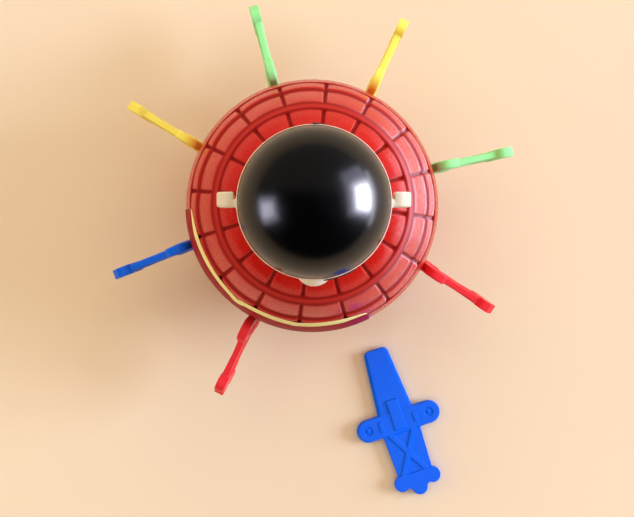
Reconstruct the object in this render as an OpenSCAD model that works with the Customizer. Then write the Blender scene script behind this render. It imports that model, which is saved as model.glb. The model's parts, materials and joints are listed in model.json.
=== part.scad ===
// Pop-up pirate game: a barrel with eight sword slots, a spring launcher and a pirate.
// Millimetres, +Z up, front of the pirate towards -Y, origin at the middle of the barrel's foot.

/* [Barrel] */
// Height of the barrel from foot to rim
barrel_h = 92; // [88:0.5:98]
// Radius of the barrel at its belly
belly_r = 46; // [44:0.5:48]
// Radius of the bow that the sides make from foot to rim
bow_r = 66; // [62:1:80]
// Radius of the rim at the top and of the foot
rim_r = 25.5; // [24.5:0.5:27]
// Radius of the mouth that the pirate drops into
mouth_r = 21.4; // [21:0.1:22]
// Thickness of the moulded wall
wall = 2; // [1.6:0.1:2.4]
// Height of each rounded shoulder, from the hoop to the rim
shoulder_h = 5.8; // [4.5:0.1:7]
// Height of each hoop
hoop_h = 2.8; // [2:0.1:3.4]
// How far a hoop stands proud of the staves
hoop_proud = 0.5; // [0.2:0.05:0.8]
// Height of each band of staves, from the hoop to the ledge
stave_h = 11.8; // [9:0.1:13]
// How far the staves stand back from the belly at the ledge
stave_step = 0.8; // [0.4:0.05:1.1]
// Height of the band between the upper ledge and the seam
band_h = 5.9; // [4:0.1:8]
// Number of staves round the barrel
stave_count = 16; // [12:1:24]
// Direction of the first gap between staves, in degrees
stave_phase = 16; // [0:0.5:22]
// Width of the gap between two staves
gap_w = 1.2; // [0.8:0.1:1.6]
// Depth of the gaps between the staves
gap_depth = 0.6; // [0.3:0.05:0.9]

/* [Sword slots] */
// Number of slots round the belly
slot_count = 8; // [8:1:8]
// Direction of the first slot, in degrees
slot_phase = 17.5; // [15:0.5:20]
// Height of the middle of the slots
slot_z = 33; // [31:0.5:36]
// Width of a slot
slot_w = 5.2; // [5:0.1:5.6]
// Height of a slot
slot_h = 17; // [16.4:0.2:20]

/* [Swords] */
// Length of the blade beyond the guard
blade_len = 25.4; // [22:0.2:26]
// Width of the blade at the guard
blade_root_w = 14.3; // [12:0.1:14.8]
// Width of the blade at the tip
blade_tip_w = 10; // [8:0.1:10.5]
// Thickness of the blade
blade_t = 2.8; // [2.2:0.1:3]
// Length of the guard from tab to tab
guard_span = 34; // [28:0.5:36]
// Width of the guard along the sword
guard_w = 9; // [7.5:0.1:10]
// Thickness of the guard
guard_t = 3.4; // [3:0.1:3.8]
// Thickness of the raised block on the guard
boss_t = 4.2; // [4:0.1:4.3]
// Length of the grip from the guard to the pommel
grip_len = 17.5; // [15:0.5:20]
// Width of the grip at the guard
grip_w = 15.6; // [14:0.2:17]
// Thickness of the grip
grip_t = 2.2; // [1.8:0.1:2.6]
// Radius of each of the three lobes of the pommel
lobe_r = 3.1; // [2.6:0.1:3.4]
// Thickness of the pommel
pommel_t = 3.6; // [3:0.1:4]
// Angle by which an inserted sword hangs down from level
sword_droop = 11; // [8:0.5:12]
// Gap between a guard and the barrel
guard_gap = 0.6; // [0.5:0.1:1]

/* [Pirate] */
// Radius of the head
head_r = 25.4; // [24.6:0.1:25.8]
// Radius of the cap
cap_r = 25; // [24.4:0.1:25.2]
// Thickness of the cap
cap_t = 1.6; // [1.2:0.1:2]
// Height of the head's middle above the barrel's rim
head_up = 20; // [19:0.5:22]
// Depth from the head's middle down to its flat chin
chin_drop = 18.5; // [17.5:0.5:18.6]
// Radius of the ball of the nose
nose_r = 6; // [5:0.2:6.5]
// Reach of the nose in front of the middle of the head
nose_reach = 28.8; // [28:0.1:29.6]
// Reach of the ears from the middle of the head
ear_reach = 31.9; // [30:0.1:34]
// Height of the ears
ear_h = 11; // [9:0.5:13]
// Largest radius of the body
body_r = 14.4; // [13.8:0.1:15]
// Radius of the belt
belt_r = 13.8; // [13.2:0.1:14.4]
// Radius of the arms
arm_r = 2.6; // [2.2:0.1:2.8]

/* [Launcher] */
// Radius of the post that the turret turns on
post_r = 5; // [4.5:0.1:5.4]
// Radius of the bore of the guide tube
tube_bore_r = 11.6; // [11.2:0.1:12]
// Thickness of the tube's wall
tube_t = 1.8; // [1.4:0.1:2]
// Travel of the launch plate
stroke = 24; // [22:0.5:24]
// Length of the launch spring when it is cocked
cocked_len = 20; // [19:0.5:22]
// Thickness of the spring's wire
wire_d = 1.3; // [1:0.1:1.4]
// Number of turns of the launch spring
spring_turns = 8.5; // [7:0.5:8.5]
// Radius of the pirate's foot stem
stem_r = 9.5; // [9:0.1:9.7]
// Thickness of the catch ledge on the foot
ledge_t = 1.6; // [1.2:0.1:1.7]
// Radius of the catch ledge
ledge_r = 15; // [14.6:0.1:15.2]

/* [Trigger] */
// Distance of the trigger's pin from the middle
pivot_r = 17.6; // [17.4:0.1:18]
// Height of the trigger's paddle
paddle_h = 12.5; // [10:0.5:13]
// Width of the trigger's paddle
paddle_w = 9; // [7.5:0.5:9.5]
// How far a sword's tip overlaps the waiting paddle
trigger_bite = 2.6; // [2:0.1:3]
// Width of the trigger's arm
arm_w = 7; // [6:0.5:7.5]
// Radius of the trigger's pin
pin_r = 1; // [0.8:0.1:1.2]
// Bite of the hook over the catch ledge
hook_bite = 1.6; // [1.2:0.1:2]

/* [Loose sword] */
// Place of the loose sword's guard across the table
loose_x = 34.6; // [30:0.2:60]
// Place of the loose sword's guard in front of the barrel
loose_y = -84.6; // [-110:0.2:-80]
// Direction of the loose sword's pommel, in degrees
loose_turn = 288.4; // [270:0.2:300]

/* [Hidden] */

$fn = 72;
// Smallest overlap by which a cutter passes a face
eps = 0.01;
// Gap between pieces that move past each other
slip = 0.3;
// Gap of a pin or a shaft in its hole
fit = 0.06;
// Height of one step along the barrel's bow
bow_step = 2.2;
// Rings of points on one turn of a spring
helix_rings = 8;

// Barrel, worked out from its driving sizes
belly_z = barrel_h / 2;
foot_z = 1.6;
hoop_top = barrel_h - shoulder_h;
hoop_low = hoop_top - hoop_h;
stave_low = hoop_low - stave_h;
ledge_fall = 1.2;
band_top = stave_low - ledge_fall;
seam_z = band_top - band_h;
lip_h = 3;
mouth_tube_h = 4;
mouth_tube_t = 1.4;
edge = 0.3;

// Barrel's outer radius at a height, on the bow of its sides
function bow(z) = belly_r - bow_r + sqrt(bow_r * bow_r - pow(z - belly_z, 2));

// Points along the bow between two heights
function bow_line(z0, z1, off = 0) =
    let (n = ceil(abs(z1 - z0) / bow_step))
    [for (i = [0 : n]) let (z = z0 + (z1 - z0) * i / n) [bow(z) + off, z]];

// Points along a stave, which stands back from the bow towards its ledge
function stave_line(top) =
    let (n = ceil((top - stave_low) / bow_step))
    [for (i = [0 : n]) let (z = stave_low + (top - stave_low) * i / n)
     [bow(z) - stave_step * (hoop_low - z) / stave_h, z]];

// Points on the rounded hoop
function hoop_line() = [
    [bow(hoop_low) + hoop_proud, hoop_low + edge],
    [(bow(hoop_low) + bow(hoop_top)) / 2 + hoop_proud + 0.1, (hoop_low + hoop_top) / 2],
    [bow(hoop_top) + hoop_proud, hoop_top - edge]];

// Line moved sideways by a distance, square to its own run at each point
function moved(line, d) = [for (i = [0 : len(line) - 1])
    let (run = line[min(i + 1, len(line) - 1)] - line[max(i - 1, 0)], u = run / norm(run))
    line[i] + d * [u[1], -u[0]]];

// Points on the rounded shoulder, from the hoop (t = 0) to the rim (t = 1)
shoulder_steps = 6;
function shoulder_z(t) = hoop_top + shoulder_h * sin(90 * t) * sin(90 * t) * 0.35 + shoulder_h * t * 0.65;
function shoulder_r(t) = bow(hoop_top) + (rim_r - bow(hoop_top)) * (t * 0.55 + t * t * 0.45);
function shoulder_line(start = 0) =
    [for (i = [0 : shoulder_steps]) let (t = start + (1 - start) * i / shoulder_steps)
     [shoulder_r(t), shoulder_z(t)]];
// The same line for the gaps, which clears the hoop and runs out past the rim
function shoulder_gap_line() = concat(shoulder_line(0.04), [[rim_r - edge, barrel_h + 1]]);

// Turns a line of the upper half into the same line of the lower half, foot first
function mirrored(line) = [for (i = [len(line) - 1 : -1 : 0]) [line[i][0], barrel_h - line[i][1]]];

// Heights inside the barrel, from the base up
base_t = 2.4;
seat_z = 4.6;
post_top = 12;
turret_z = base_t + 0.4;
turret_floor_t = 2.4;
turret_floor_r = 15.6;
hub_r = post_r + 1.8;
spring_z = turret_z + turret_floor_t;
plate_low = spring_z + cocked_len;
plate_t = 2.4;
plate_top = plate_low + plate_t;
collar_z = plate_top + stroke + slip;
collar_t = 2.4;
collar_top = collar_z + collar_t;
ledge_low = collar_top + 1.2;
ledge_top = ledge_low + ledge_t;
waist_h = 5.5;
body_low = ledge_top + waist_h;
belt_h = 4;
belt_t = 2;
belt_gap = 0.05;
belt_z = body_low + belt_h;
head_z = barrel_h + head_up;
chin_z = head_z - chin_drop;
cap_low = head_z - 0.7;
cap_seat = cap_low - slip;
tube_r = tube_bore_r + tube_t;
spring_r = tube_bore_r - wire_d / 2 - 1.6;
// Nearest that the spring's straight-sided turns come to its middle
spring_inner_r = spring_r * cos(180 / helix_rings) - wire_d / 2;

// Base screws and the bosses that they go into
screw_r = 1.2;
screw_head_r = 2.6;
screw_head_t = 1.4;
screw_floor_z = 3.4;
screw_len = 8;
screw_boss_r = 3;
screw_cup_r = screw_boss_r + 0.6;
boss_ring_r = rim_r - wall - slip - screw_cup_r;
boss_top = 16;
boss_rib_t = 1.6;

// Sword, in its own frame: guard in the middle, pommel along +X, width along Y, thickness along Z
guard_in = guard_w / 2;
boss_in = guard_in + 4.5;
boss_out = 3;
boss_w = 4.5;
blade_bevel = 0.8;
bevel_w = 1.1;
tip_round = 2.2;
tab_r = guard_w / 2;
dimple_r = 1.7;
stud_r = 0.7;
side_bar_w = 1.5;
side_bar_len = 4;
side_bar_y = 7;
side_bar_t = boss_t - 0.2;
dimple_d = 0.5;
grip_end_w = grip_w - 1.6;
lobe_x = guard_in + grip_len + 2;
lobe_y = 9.4 - lobe_r;
end_lobe_x = lobe_x + 3;

// Place of an inserted sword: its axis passes the surface of the belly at the slot's middle
slot_r = bow(slot_z);
slot_pitch = 360 / slot_count;
// Number of the slot that sets the launcher off, which is also the last one that the label passes
trigger_slot = 6;
blade_in = blade_len - guard_gap;
tip_r = slot_r - blade_in * cos(sword_droop);
tip_z = slot_z + blade_in * sin(sword_droop);

// Trigger
paddle_out = tip_r + trigger_bite;
paddle_t = 2.5;
paddle_in = paddle_out - paddle_t;
paddle_mid = tip_z - 0.6;
paddle_low = paddle_mid - paddle_h / 2;
paddle_top = paddle_mid + paddle_h / 2;
hub_arm_r = pin_r + 1.7;
pivot_z = paddle_top + hub_arm_r + 0.6;
hook_z = ledge_top + slip;
hook_tip_t = 0.8;
hook_t = 2;
arm_in = ledge_r + 1.2;
arm_out = arm_in + 2.4;
hook_tip = ledge_r - hook_bite;
ear_gap = 0.3;
ear_t = 1.8;
trigger_dir = slot_phase + trigger_slot * slot_pitch;
pull_spring_z = paddle_mid - 2;
pull_spring_r = 2;
pull_wire_d = 0.6;
pull_turns = 4.5;
peg_r = 1.2;

// Tools for shapes

// Ring of revolution from a list of [radius, height] points
module revolve(points, from = 0, span = 360) {
    rotate([0, 0, from]) rotate_extrude(angle = span) polygon(points);
}

// Copies its children round the Z axis
module around(count, phase = 0) {
    for (i = [0 : count - 1]) rotate([0, 0, phase + i * 360 / count]) children();
}

// Plate drawn in the plane of radius and height, of a given width, standing along +X
module blade_plate(width) {
    rotate([90, 0, 0]) translate([0, 0, -width / 2]) linear_extrude(width) children();
}

// Tube swept along a helix: points and faces by formula, capped at both ends
helix_sides = 6;
function helix_at(t, r, turns, len_z) =
    [r * cos(360 * turns * t), r * sin(360 * turns * t), len_z * t];
function unit(v) = v / norm(v);
function helix_ring(t, r, turns, len_z, wire, sides = helix_sides) =
    let (p = helix_at(t, r, turns, len_z),
         q = helix_at(t + 0.0005, r, turns, len_z),
         along = unit(q - p),
         out = unit([p[0], p[1], 0]),
         side = cross(along, out))
    [for (k = [0 : sides - 1]) p + wire / 2 * (cos(360 * k / sides) * out + sin(360 * k / sides) * side)];
// Least distance between the points of two rings that are more than half a turn apart
function helix_gap(r, turns, len_z, wire) =
    let (n = ceil(turns * helix_rings),
         rings = [for (i = [0 : n]) helix_ring(i / n, r, turns, len_z, wire)])
    min([for (i = [0 : n]) for (j = [i + helix_rings / 2 + 1 : 1 : min(n, i + 2 * helix_rings)])
         for (p = rings[i]) for (q = rings[j]) norm(p - q)]);
module helix(r, turns, len_z, wire) {
    n = ceil(turns * helix_rings);
    sides = helix_sides;
    points = [for (i = [0 : n]) each helix_ring(i / n, r, turns, len_z, wire)];
    sidewalls = [for (i = [0 : n - 1], k = [0 : sides - 1]) each
        let (a = i * sides + k, b = i * sides + (k + 1) % sides, c = a + sides, d = b + sides)
        [[a, b, d], [a, d, c]]];
    first = [for (k = [sides - 1 : -1 : 0]) k];
    last = [for (k = [0 : sides - 1]) n * sides + k];
    polyhedron(points, concat(sidewalls, [first, last]), convexity = 8);
}

// Barrel

// Line of the staves, the hoop and the shoulder, from the ledge to the rim
function end_line() = concat(stave_line(hoop_low), hoop_line(), shoulder_line());

// Outer line of the upper moulding, from the seam to the rim
function upper_outer() = concat(bow_line(seam_z, band_top), end_line());

// Outer line of the lower moulding, from the foot to the seam
function lower_outer() = concat(
    [[rim_r, foot_z]],
    [for (p = mirrored(end_line())) if (p[1] > foot_z + edge) p],
    bow_line(barrel_h - band_top, seam_z));

// Line of a gap between staves, from a height below the ledge to just short of the hoop
gap_end = 0.15;
function gap_line(low) = concat(bow_line(low, band_top), stave_line(hoop_low - gap_end));

// Cutter for the gaps between staves
module stave_gaps(line) {
    inner = [for (p = line) [p[0] - gap_depth, p[1]]];
    outer = [for (i = [len(line) - 1 : -1 : 0]) [line[i][0] + 3, line[i][1]]];
    around(stave_count, stave_phase) blade_plate(gap_w) polygon(concat(inner, outer));
}

// Opening for one sword, along +X, grown by a margin
module slot(margin = 0, depth = 12) {
    w = slot_w + 2 * margin;
    h = slot_h + 2 * margin;
    corner = 1.2;
    translate([slot_r - depth / 2, 0, slot_z]) rotate([90, 0, 90]) linear_extrude(depth) {
        square([w, h - 2 * corner], center = true);
        square([w - 2 * corner, h], center = true);
        for (x = [-1, 1], y = [-1, 1])
            translate([x * (w / 2 - corner), y * (h / 2 - corner)]) circle(corner);
    }
}

// Places of the three bosses that hold the base
module at_bosses() {
    around(3, 90) translate([boss_ring_r, 0, 0]) children();
}

module barrel_upper() {
    color("#b5352c") difference() {
        union() {
            inner = moved(shoulder_line(), -wall);
            tube_out = mouth_r + mouth_tube_t;
            revolve(concat(
                upper_outer(),
                [[mouth_r, barrel_h], [mouth_r, barrel_h - mouth_tube_h],
                 [tube_out, barrel_h - mouth_tube_h], [tube_out, barrel_h - wall]],
                [for (i = [len(inner) - 1 : -1 : 0]) if (inner[i][0] > tube_out + edge) inner[i]],
                bow_line(hoop_low, seam_z, -wall)));
            // Lip that drops inside the lower moulding
            revolve([[bow(seam_z) - wall - 1, seam_z + 2], [bow(seam_z) - wall + eps, seam_z + 2],
                     [bow(seam_z) - wall + 0.8, seam_z], [bow(seam_z - lip_h) - 1.1, seam_z - lip_h],
                     [bow(seam_z - lip_h) - wall, seam_z - lip_h], [bow(seam_z) - wall - 1, seam_z]]);
        }
        stave_gaps(gap_line(seam_z - 1));
        stave_gaps(shoulder_gap_line());
    }
}

module barrel_lower() {
    color("#b5352c") {
        difference() {
            revolve(concat(
                lower_outer(),
                [[bow(seam_z) - 1, seam_z], [bow(seam_z - lip_h) - 1, seam_z - lip_h - 0.2]],
                bow_line(seam_z - lip_h - 0.2, barrel_h - hoop_low, -wall),
                [[bow(barrel_h - hoop_top) - wall, barrel_h - hoop_top + 0.6],
                 [rim_r - wall, foot_z + 2.2], [rim_r - wall, foot_z]]));
            around(slot_count, slot_phase) slot();
            stave_gaps(mirrored(gap_line(band_top - 1)));
            stave_gaps(mirrored(shoulder_gap_line()));
        }
        // Bosses for the base screws, each tied to the wall by a rib
        difference() {
            intersection() {
                at_bosses() union() {
                    translate([0, 0, seat_z]) cylinder(h = boss_top - seat_z, r = screw_boss_r);
                    translate([0, -boss_rib_t / 2, seat_z + 2])
                        cube([belly_r, boss_rib_t, boss_top - seat_z - 2]);
                }
                revolve(concat([[0, foot_z], [rim_r - 0.4, foot_z]],
                               [[bow(barrel_h - hoop_top) - 0.8, barrel_h - hoop_top]],
                               bow_line(barrel_h - hoop_low, boss_top + 4, -0.8),
                               [[0, boss_top + 4]]));
            }
            at_bosses() translate([0, 0, seat_z - eps]) cylinder(h = screw_len + 1, r = screw_r);
        }
    }
}
module barrel_base() {
    spigot_r = rim_r - wall - 0.25;
    color("#8f2a22") difference() {
        union() {
            cylinder(h = foot_z, r = rim_r);
            cylinder(h = base_t, r = spigot_r);
            revolve([[spigot_r - 1.6, base_t - eps], [spigot_r, base_t - eps],
                     [spigot_r, seat_z], [spigot_r - 1.6, seat_z]]);
            cylinder(h = post_top, r = post_r);
            at_bosses() cylinder(h = seat_z, r = screw_cup_r);
        }
        translate([0, 0, 4]) cylinder(h = post_top, r = 1.5);
        at_bosses() {
            translate([0, 0, -1]) cylinder(h = screw_floor_z + 1, r = screw_head_r + 0.3);
            cylinder(h = 2 * seat_z, r = screw_r + 0.2);
        }
    }
}

module base_screws() {
    color("silver") at_bosses() difference() {
        union() {
            translate([0, 0, screw_floor_z - screw_head_t]) cylinder(h = screw_head_t, r = screw_head_r);
            translate([0, 0, screw_floor_z - eps]) cylinder(h = screw_len, r = screw_r - 0.02);
        }
        for (a = [0, 90]) rotate([0, 0, a])
            translate([-1.6, -0.3, screw_floor_z - screw_head_t - 1]) cube([3.2, 0.6, 1.6]);
    }
}

// Sticker round the front of the belly, with a scalloped outline
label_slots = 3;
label_before = 15.5;
label_after = 9.2;
label_from = trigger_dir - (label_slots - 1) * slot_pitch - label_before;
label_span = (label_slots - 1) * slot_pitch + label_before + label_after;
label_mid = label_from + label_span / 2;
label_t = 0.25;
label_gap = 0.06;
label_edge = 0.9;
label_top = band_top - label_edge;
label_low = barrel_h - band_top + label_edge;
label_top_wave = 5;
label_low_wave = 2.5;
label_waves = 3;
label_round = 0.7;
label_slot_margin = 0.6;
label_r = belly_r + 1;
label_steps = 48;
function label_scallop(a) = 1 - pow(abs(sin(180 * label_waves * a / label_span)), label_round);
function label_side(a) = label_r * sin(a - label_span / 2);
module label() {
    turns = [for (i = [0 : label_steps]) label_span * i / label_steps];
    top = [for (a = turns) [label_side(a), label_top - label_top_wave * label_scallop(a)]];
    low = [for (i = [label_steps : -1 : 0])
           [label_side(turns[i]), label_low + label_low_wave * label_scallop(turns[i])]];
    line = bow_line(label_low, label_top, label_gap);
    color("#2b3f9e") difference() {
        intersection() {
            revolve(concat(line, [for (i = [len(line) - 1 : -1 : 0]) line[i] + [label_t, 0]]),
                    label_from, label_span);
            rotate([0, 0, label_mid]) rotate([90, 0, 90]) linear_extrude(2 * belly_r)
                polygon(concat(top, low));
        }
        around(slot_count, slot_phase) slot(label_slot_margin);
    }
}

// Launcher

module turret() {
    color("#e8e2d0") rotate([0, 0, trigger_dir]) difference() {
        union() {
            translate([0, 0, turret_z]) cylinder(h = turret_floor_t, r = turret_floor_r);
            translate([0, 0, turret_z]) cylinder(h = post_top - 0.3 - turret_z, r = hub_r);
            revolve([[tube_bore_r, spring_z - eps], [tube_r, spring_z - eps],
                     [tube_r, collar_z], [tube_bore_r, collar_z]]);
            for (a = [60, 120, 180, 240, 300]) rotate([0, 0, a]) blade_plate(1.2)
                polygon([[tube_r - 0.4, spring_z - eps], [turret_floor_r - 0.2, spring_z - eps],
                         [tube_r - 0.4, spring_z + 9]]);
            for (s = [-1, 1]) translate([0, s * (arm_w / 2 + ear_gap + ear_t / 2), 0]) blade_plate(ear_t) {
                polygon([[tube_r - 0.6, pivot_z - 3.4], [pivot_r, pivot_z - 2.8],
                         [pivot_r, pivot_z + 2.8], [tube_r - 0.6, pivot_z + 3.4]]);
                translate([pivot_r, pivot_z]) circle(2.8);
            }
            translate([tube_r - 0.5, 0, pull_spring_z]) rotate([0, 90, 0]) cylinder(h = 2, r = peg_r);
        }
        translate([0, 0, turret_z - 1]) cylinder(h = post_top, r = post_r + fit);
        translate([pivot_r, 0, pivot_z]) rotate([90, 0, 0])
            cylinder(h = arm_w + 10, r = pin_r + 0.02, center = true);
        // Plain bore, so that no ear or peg reaches the plate
        translate([0, 0, spring_z]) cylinder(h = collar_z, r = hub_r + eps);
        revolve([[hub_r, spring_z], [tube_bore_r, spring_z], [tube_bore_r, collar_z + 1],
                 [hub_r, collar_z + 1]]);
    }
}

module guide_collar() {
    skirt_gap = 24;
    key_w = 3;
    color("#e8e2d0") rotate([0, 0, trigger_dir]) difference() {
        union() {
            translate([0, 0, collar_z]) cylinder(h = collar_t, r = tube_r);
            revolve([[tube_r + 0.05, collar_z - 2], [tube_r + 1.2, collar_z - 2],
                     [tube_r + 1.2, collar_top], [tube_r - 0.5, collar_top], [tube_r - 0.5, collar_z],
                     [tube_r + 0.05, collar_z]], skirt_gap, 360 - 2 * skirt_gap);
        }
        translate([0, 0, collar_z - 1]) cylinder(h = collar_t + 2, r = stem_r + slip);
        for (a = [90, 270]) rotate([0, 0, a])
            translate([0, -key_w / 2, collar_z - 1]) cube([stem_r + 1.8, key_w, collar_t + 2]);
    }
}

module turret_screw() {
    color("silver") difference() {
        union() {
            translate([0, 0, post_top]) cylinder(h = 0.8, r = hub_r - 0.3);
            translate([0, 0, post_top + 0.8 - eps]) cylinder(h = 1.5, r1 = 3, r2 = 2.4);
            translate([0, 0, 5]) cylinder(h = post_top - 5 + eps, r = 1.48);
        }
        for (a = [0, 90]) rotate([0, 0, a]) translate([-1.8, -0.35, post_top + 1.5]) cube([3.6, 0.7, 2]);
    }
}

module launch_spring() {
    echo(launch_spring_least_gap = helix_gap(spring_r, spring_turns, cocked_len - wire_d - 0.1, wire_d));
    color("gainsboro") translate([0, 0, spring_z + wire_d / 2 + 0.05])
        helix(spring_r, spring_turns, cocked_len - wire_d - 0.1, wire_d);
}

module launch_plate() {
    color("#e8e2d0") {
        translate([0, 0, plate_low]) cylinder(h = plate_t, r = tube_bore_r - slip);
        ring_out = spring_inner_r - slip;
        revolve([[ring_out - 1.4, plate_low - 3], [ring_out - 0.4, plate_low - 3],
                 [ring_out, plate_low - 2.4], [ring_out, plate_low + eps],
                 [ring_out - 1.4, plate_low + eps]]);
    }
}

module trigger_lever() {
    color("#e8e2d0") rotate([0, 0, trigger_dir]) difference() {
        union() {
            blade_plate(arm_w) {
                translate([pivot_r, pivot_z]) circle(hub_arm_r);
                polygon([[arm_in, pivot_z], [arm_out, pivot_z], [arm_out, hook_z + hook_t + 0.6],
                         [arm_out - 0.8, hook_z + hook_t + 1.2], [arm_in, hook_z + hook_t],
                         [hook_tip, hook_z + hook_tip_t], [hook_tip, hook_z], [arm_in, hook_z]]);
                polygon([[arm_in, pivot_z + 2], [arm_in, pivot_z + 4.6], [tube_r + 0.35, pivot_z + 4.2],
                         [tube_r + 0.35, pivot_z + 2.8]]);
                polygon([[pivot_r - 1.2, pivot_z - 1], [pivot_r + hub_arm_r - 0.4, pivot_z - 0.6],
                         [paddle_out, paddle_top - 0.6], [paddle_in, paddle_top - 1.8]]);
            }
            blade_plate(paddle_w) polygon([
                [paddle_in, paddle_low + 0.6], [paddle_in + 0.6, paddle_low],
                [paddle_out - 0.6, paddle_low], [paddle_out, paddle_low + 0.6],
                [paddle_out, paddle_top - 0.6], [paddle_out - 0.6, paddle_top],
                [paddle_in + 0.6, paddle_top], [paddle_in, paddle_top - 0.6]]);
            translate([paddle_in - 1.2, 0, pull_spring_z]) rotate([0, 90, 0]) cylinder(h = 1.6, r = peg_r);
        }
        translate([pivot_r, 0, pivot_z]) rotate([90, 0, 0])
            cylinder(h = arm_w + 2, r = pin_r + fit, center = true);
    }
}

module lever_pin() {
    half = arm_w / 2 + ear_gap + ear_t;
    color("silver") rotate([0, 0, trigger_dir]) translate([pivot_r, 0, pivot_z]) rotate([90, 0, 0]) {
        translate([0, 0, -half - 0.2]) cylinder(h = 2 * half + 0.4, r = pin_r);
        translate([0, 0, half + 0.05]) cylinder(h = 0.7, r = pin_r + 0.6);
    }
}

module trigger_spring() {
    span = paddle_in - tube_r;
    coil = span - pull_wire_d - 0.1;
    echo(trigger_spring_least_gap = helix_gap(pull_spring_r, pull_turns, coil, pull_wire_d));
    color("gainsboro") rotate([0, 0, trigger_dir])
        translate([tube_r + pull_wire_d / 2 + 0.05, 0, pull_spring_z]) rotate([0, 90, 0])
        helix(pull_spring_r, pull_turns, coil, pull_wire_d);
}

// Pirate

module pirate_foot() {
    foot_low = plate_top + slip;
    key_w = 2.4;
    color("#e9d9bd") rotate([0, 0, trigger_dir]) {
        revolve([[0, foot_low], [stem_r - 0.8, foot_low], [stem_r, foot_low + 0.8], [stem_r, ledge_low],
                 [ledge_r - 0.4, ledge_low], [ledge_r, ledge_low + 0.4], [ledge_r, ledge_top],
                 [stem_r, ledge_top], [stem_r, body_low], [0, body_low]]);
        for (a = [90, 270]) rotate([0, 0, a])
            translate([stem_r - 1, -key_w / 2, foot_low + 1]) cube([2.5, key_w, ledge_low - foot_low - 1]);
    }
}

// Round limb between two points, ending in a joint at the second
module limb(from, to, r) {
    run = to - from;
    translate(to) sphere(r + 0.15);
    translate(from) rotate([0, acos(run[2] / norm(run)), atan2(run[1], run[0])])
        cylinder(h = norm(run), r = r);
}

module pirate_body() {
    neck_r = 10;
    h = chin_z - body_low;
    shoulder = [body_r - arm_r, 0, body_low + 0.64 * h];
    elbow = [body_r - arm_r / 2, -5.5, body_low + 0.33 * h];
    hand = [arm_r, -body_r, body_low + 0.4 * h];
    waist_r = belt_r - 1;
    line = [for (i = [0 : 12]) let (t = i / 12)
            [waist_r + (body_r - waist_r) * sin(180 * min(t * 1.15, 1)) - (waist_r - neck_r) * pow(t, 4),
             body_low + h * t]];
    color("#c9342b") difference() {
        union() {
            revolve(concat([[0, body_low]], line, [[0, chin_z]]));
            for (s = [0, 1]) mirror([s, 0, 0]) {
                translate(shoulder) sphere(arm_r);
                limb(shoulder, elbow, arm_r);
                limb(elbow, hand, arm_r - edge);
            }
        }
        // Groove for the belt
        translate([0, 0, belt_z - belt_h / 2])
            revolve([[belt_r - belt_t, 0], [2 * body_r, 0], [2 * body_r, belt_h], [belt_r - belt_t, belt_h]]);
    }
}

module pirate_belt() {
    buckle_w = 5;
    buckle_t = 1.6;
    buckle_rim = 0.9;
    inner_r = belt_r - belt_t + belt_gap;
    h = belt_h - 2 * belt_gap;
    buckle_h = 0.9 * h;
    color("#2a211c") {
        translate([0, 0, belt_z - h / 2])
            revolve([[inner_r, 0], [belt_r, 0], [belt_r, h], [inner_r, h]]);
        translate([0, -belt_r - buckle_t / 8, belt_z]) rotate([90, 0, 0]) difference() {
            cube([buckle_w, buckle_h, buckle_t], center = true);
            cube([buckle_w - 2 * buckle_rim, buckle_h - 2 * buckle_rim, 2 * buckle_t], center = true);
        }
    }
}

// Round ear with a thick rim at its back, on the pirate's left
module ear() {
    ear_r = 6;
    ear_front = -2.3;
    ear_drop = 7;
    plate_t = 2;
    rim_w = 5.6;
    rim_t = 5.7;
    root = ear_reach - 2 * ear_r;
    translate([0, ear_front, head_z - ear_drop]) intersection() {
        translate([ear_reach - ear_r, 0, 0]) rotate([-90, 0, 0]) cylinder(h = rim_t, r = ear_r);
        union() {
            translate([root, 0, -ear_h / 2]) cube([2 * ear_r, plate_t, ear_h]);
            translate([ear_reach - rim_w, 0, -ear_h / 2]) cube([rim_w, rim_t, ear_h]);
        }
    }
}

module pirate_head() {
    nose_drop = 8;
    color("#ead9bb") {
        intersection() {
            translate([0, 0, head_z]) sphere(head_r);
            translate([0, 0, chin_z]) cylinder(h = cap_seat - chin_z, r = 2 * head_r);
        }
        // Spigot that the cap sits on
        intersection() {
            translate([0, 0, head_z]) sphere(cap_r - cap_t - 0.1);
            translate([0, 0, cap_seat - eps]) cylinder(h = 2 * head_r, r = 2 * head_r);
        }
        translate([0, nose_r - nose_reach, head_z - nose_drop]) sphere(nose_r);
        for (s = [0, 1]) mirror([s, 0, 0]) ear();
    }
}

module pirate_cap() {
    color("#141416") difference() {
        intersection() {
            translate([0, 0, head_z]) sphere(cap_r);
            translate([0, 0, cap_low]) cylinder(h = 2 * head_r, r = 2 * head_r);
        }
        translate([0, 0, head_z]) sphere(cap_r - cap_t);
    }
}

// Patch over the left eye, moulded to the round of the head
module eye_patch() {
    patch_r = 4.2;
    patch_t = 0.5;
    turn = -65;
    drop = 11;
    color("#1d1a19") translate([0, 0, head_z]) intersection() {
        difference() {
            sphere(head_r + fit + patch_t);
            sphere(head_r + fit);
        }
        rotate([0, 0, turn]) rotate([0, 90 + drop, 0]) cylinder(h = head_r + 2, r = patch_r);
    }
}

// Swords

// Outline of the blade, tip rounded at both corners
module blade_outline() {
    tip = -guard_in - blade_len;
    polygon([[0, -blade_root_w / 2], [0, blade_root_w / 2], [-guard_in, blade_root_w / 2],
             [tip + tip_round, blade_tip_w / 2], [tip, blade_tip_w / 2 - tip_round],
             [tip, -blade_tip_w / 2 + tip_round], [tip + tip_round, -blade_tip_w / 2],
             [-guard_in, -blade_root_w / 2]]);
    for (s = [-1, 1]) translate([tip + tip_round, s * (blade_tip_w / 2 - tip_round)]) circle(tip_round);
}

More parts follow.
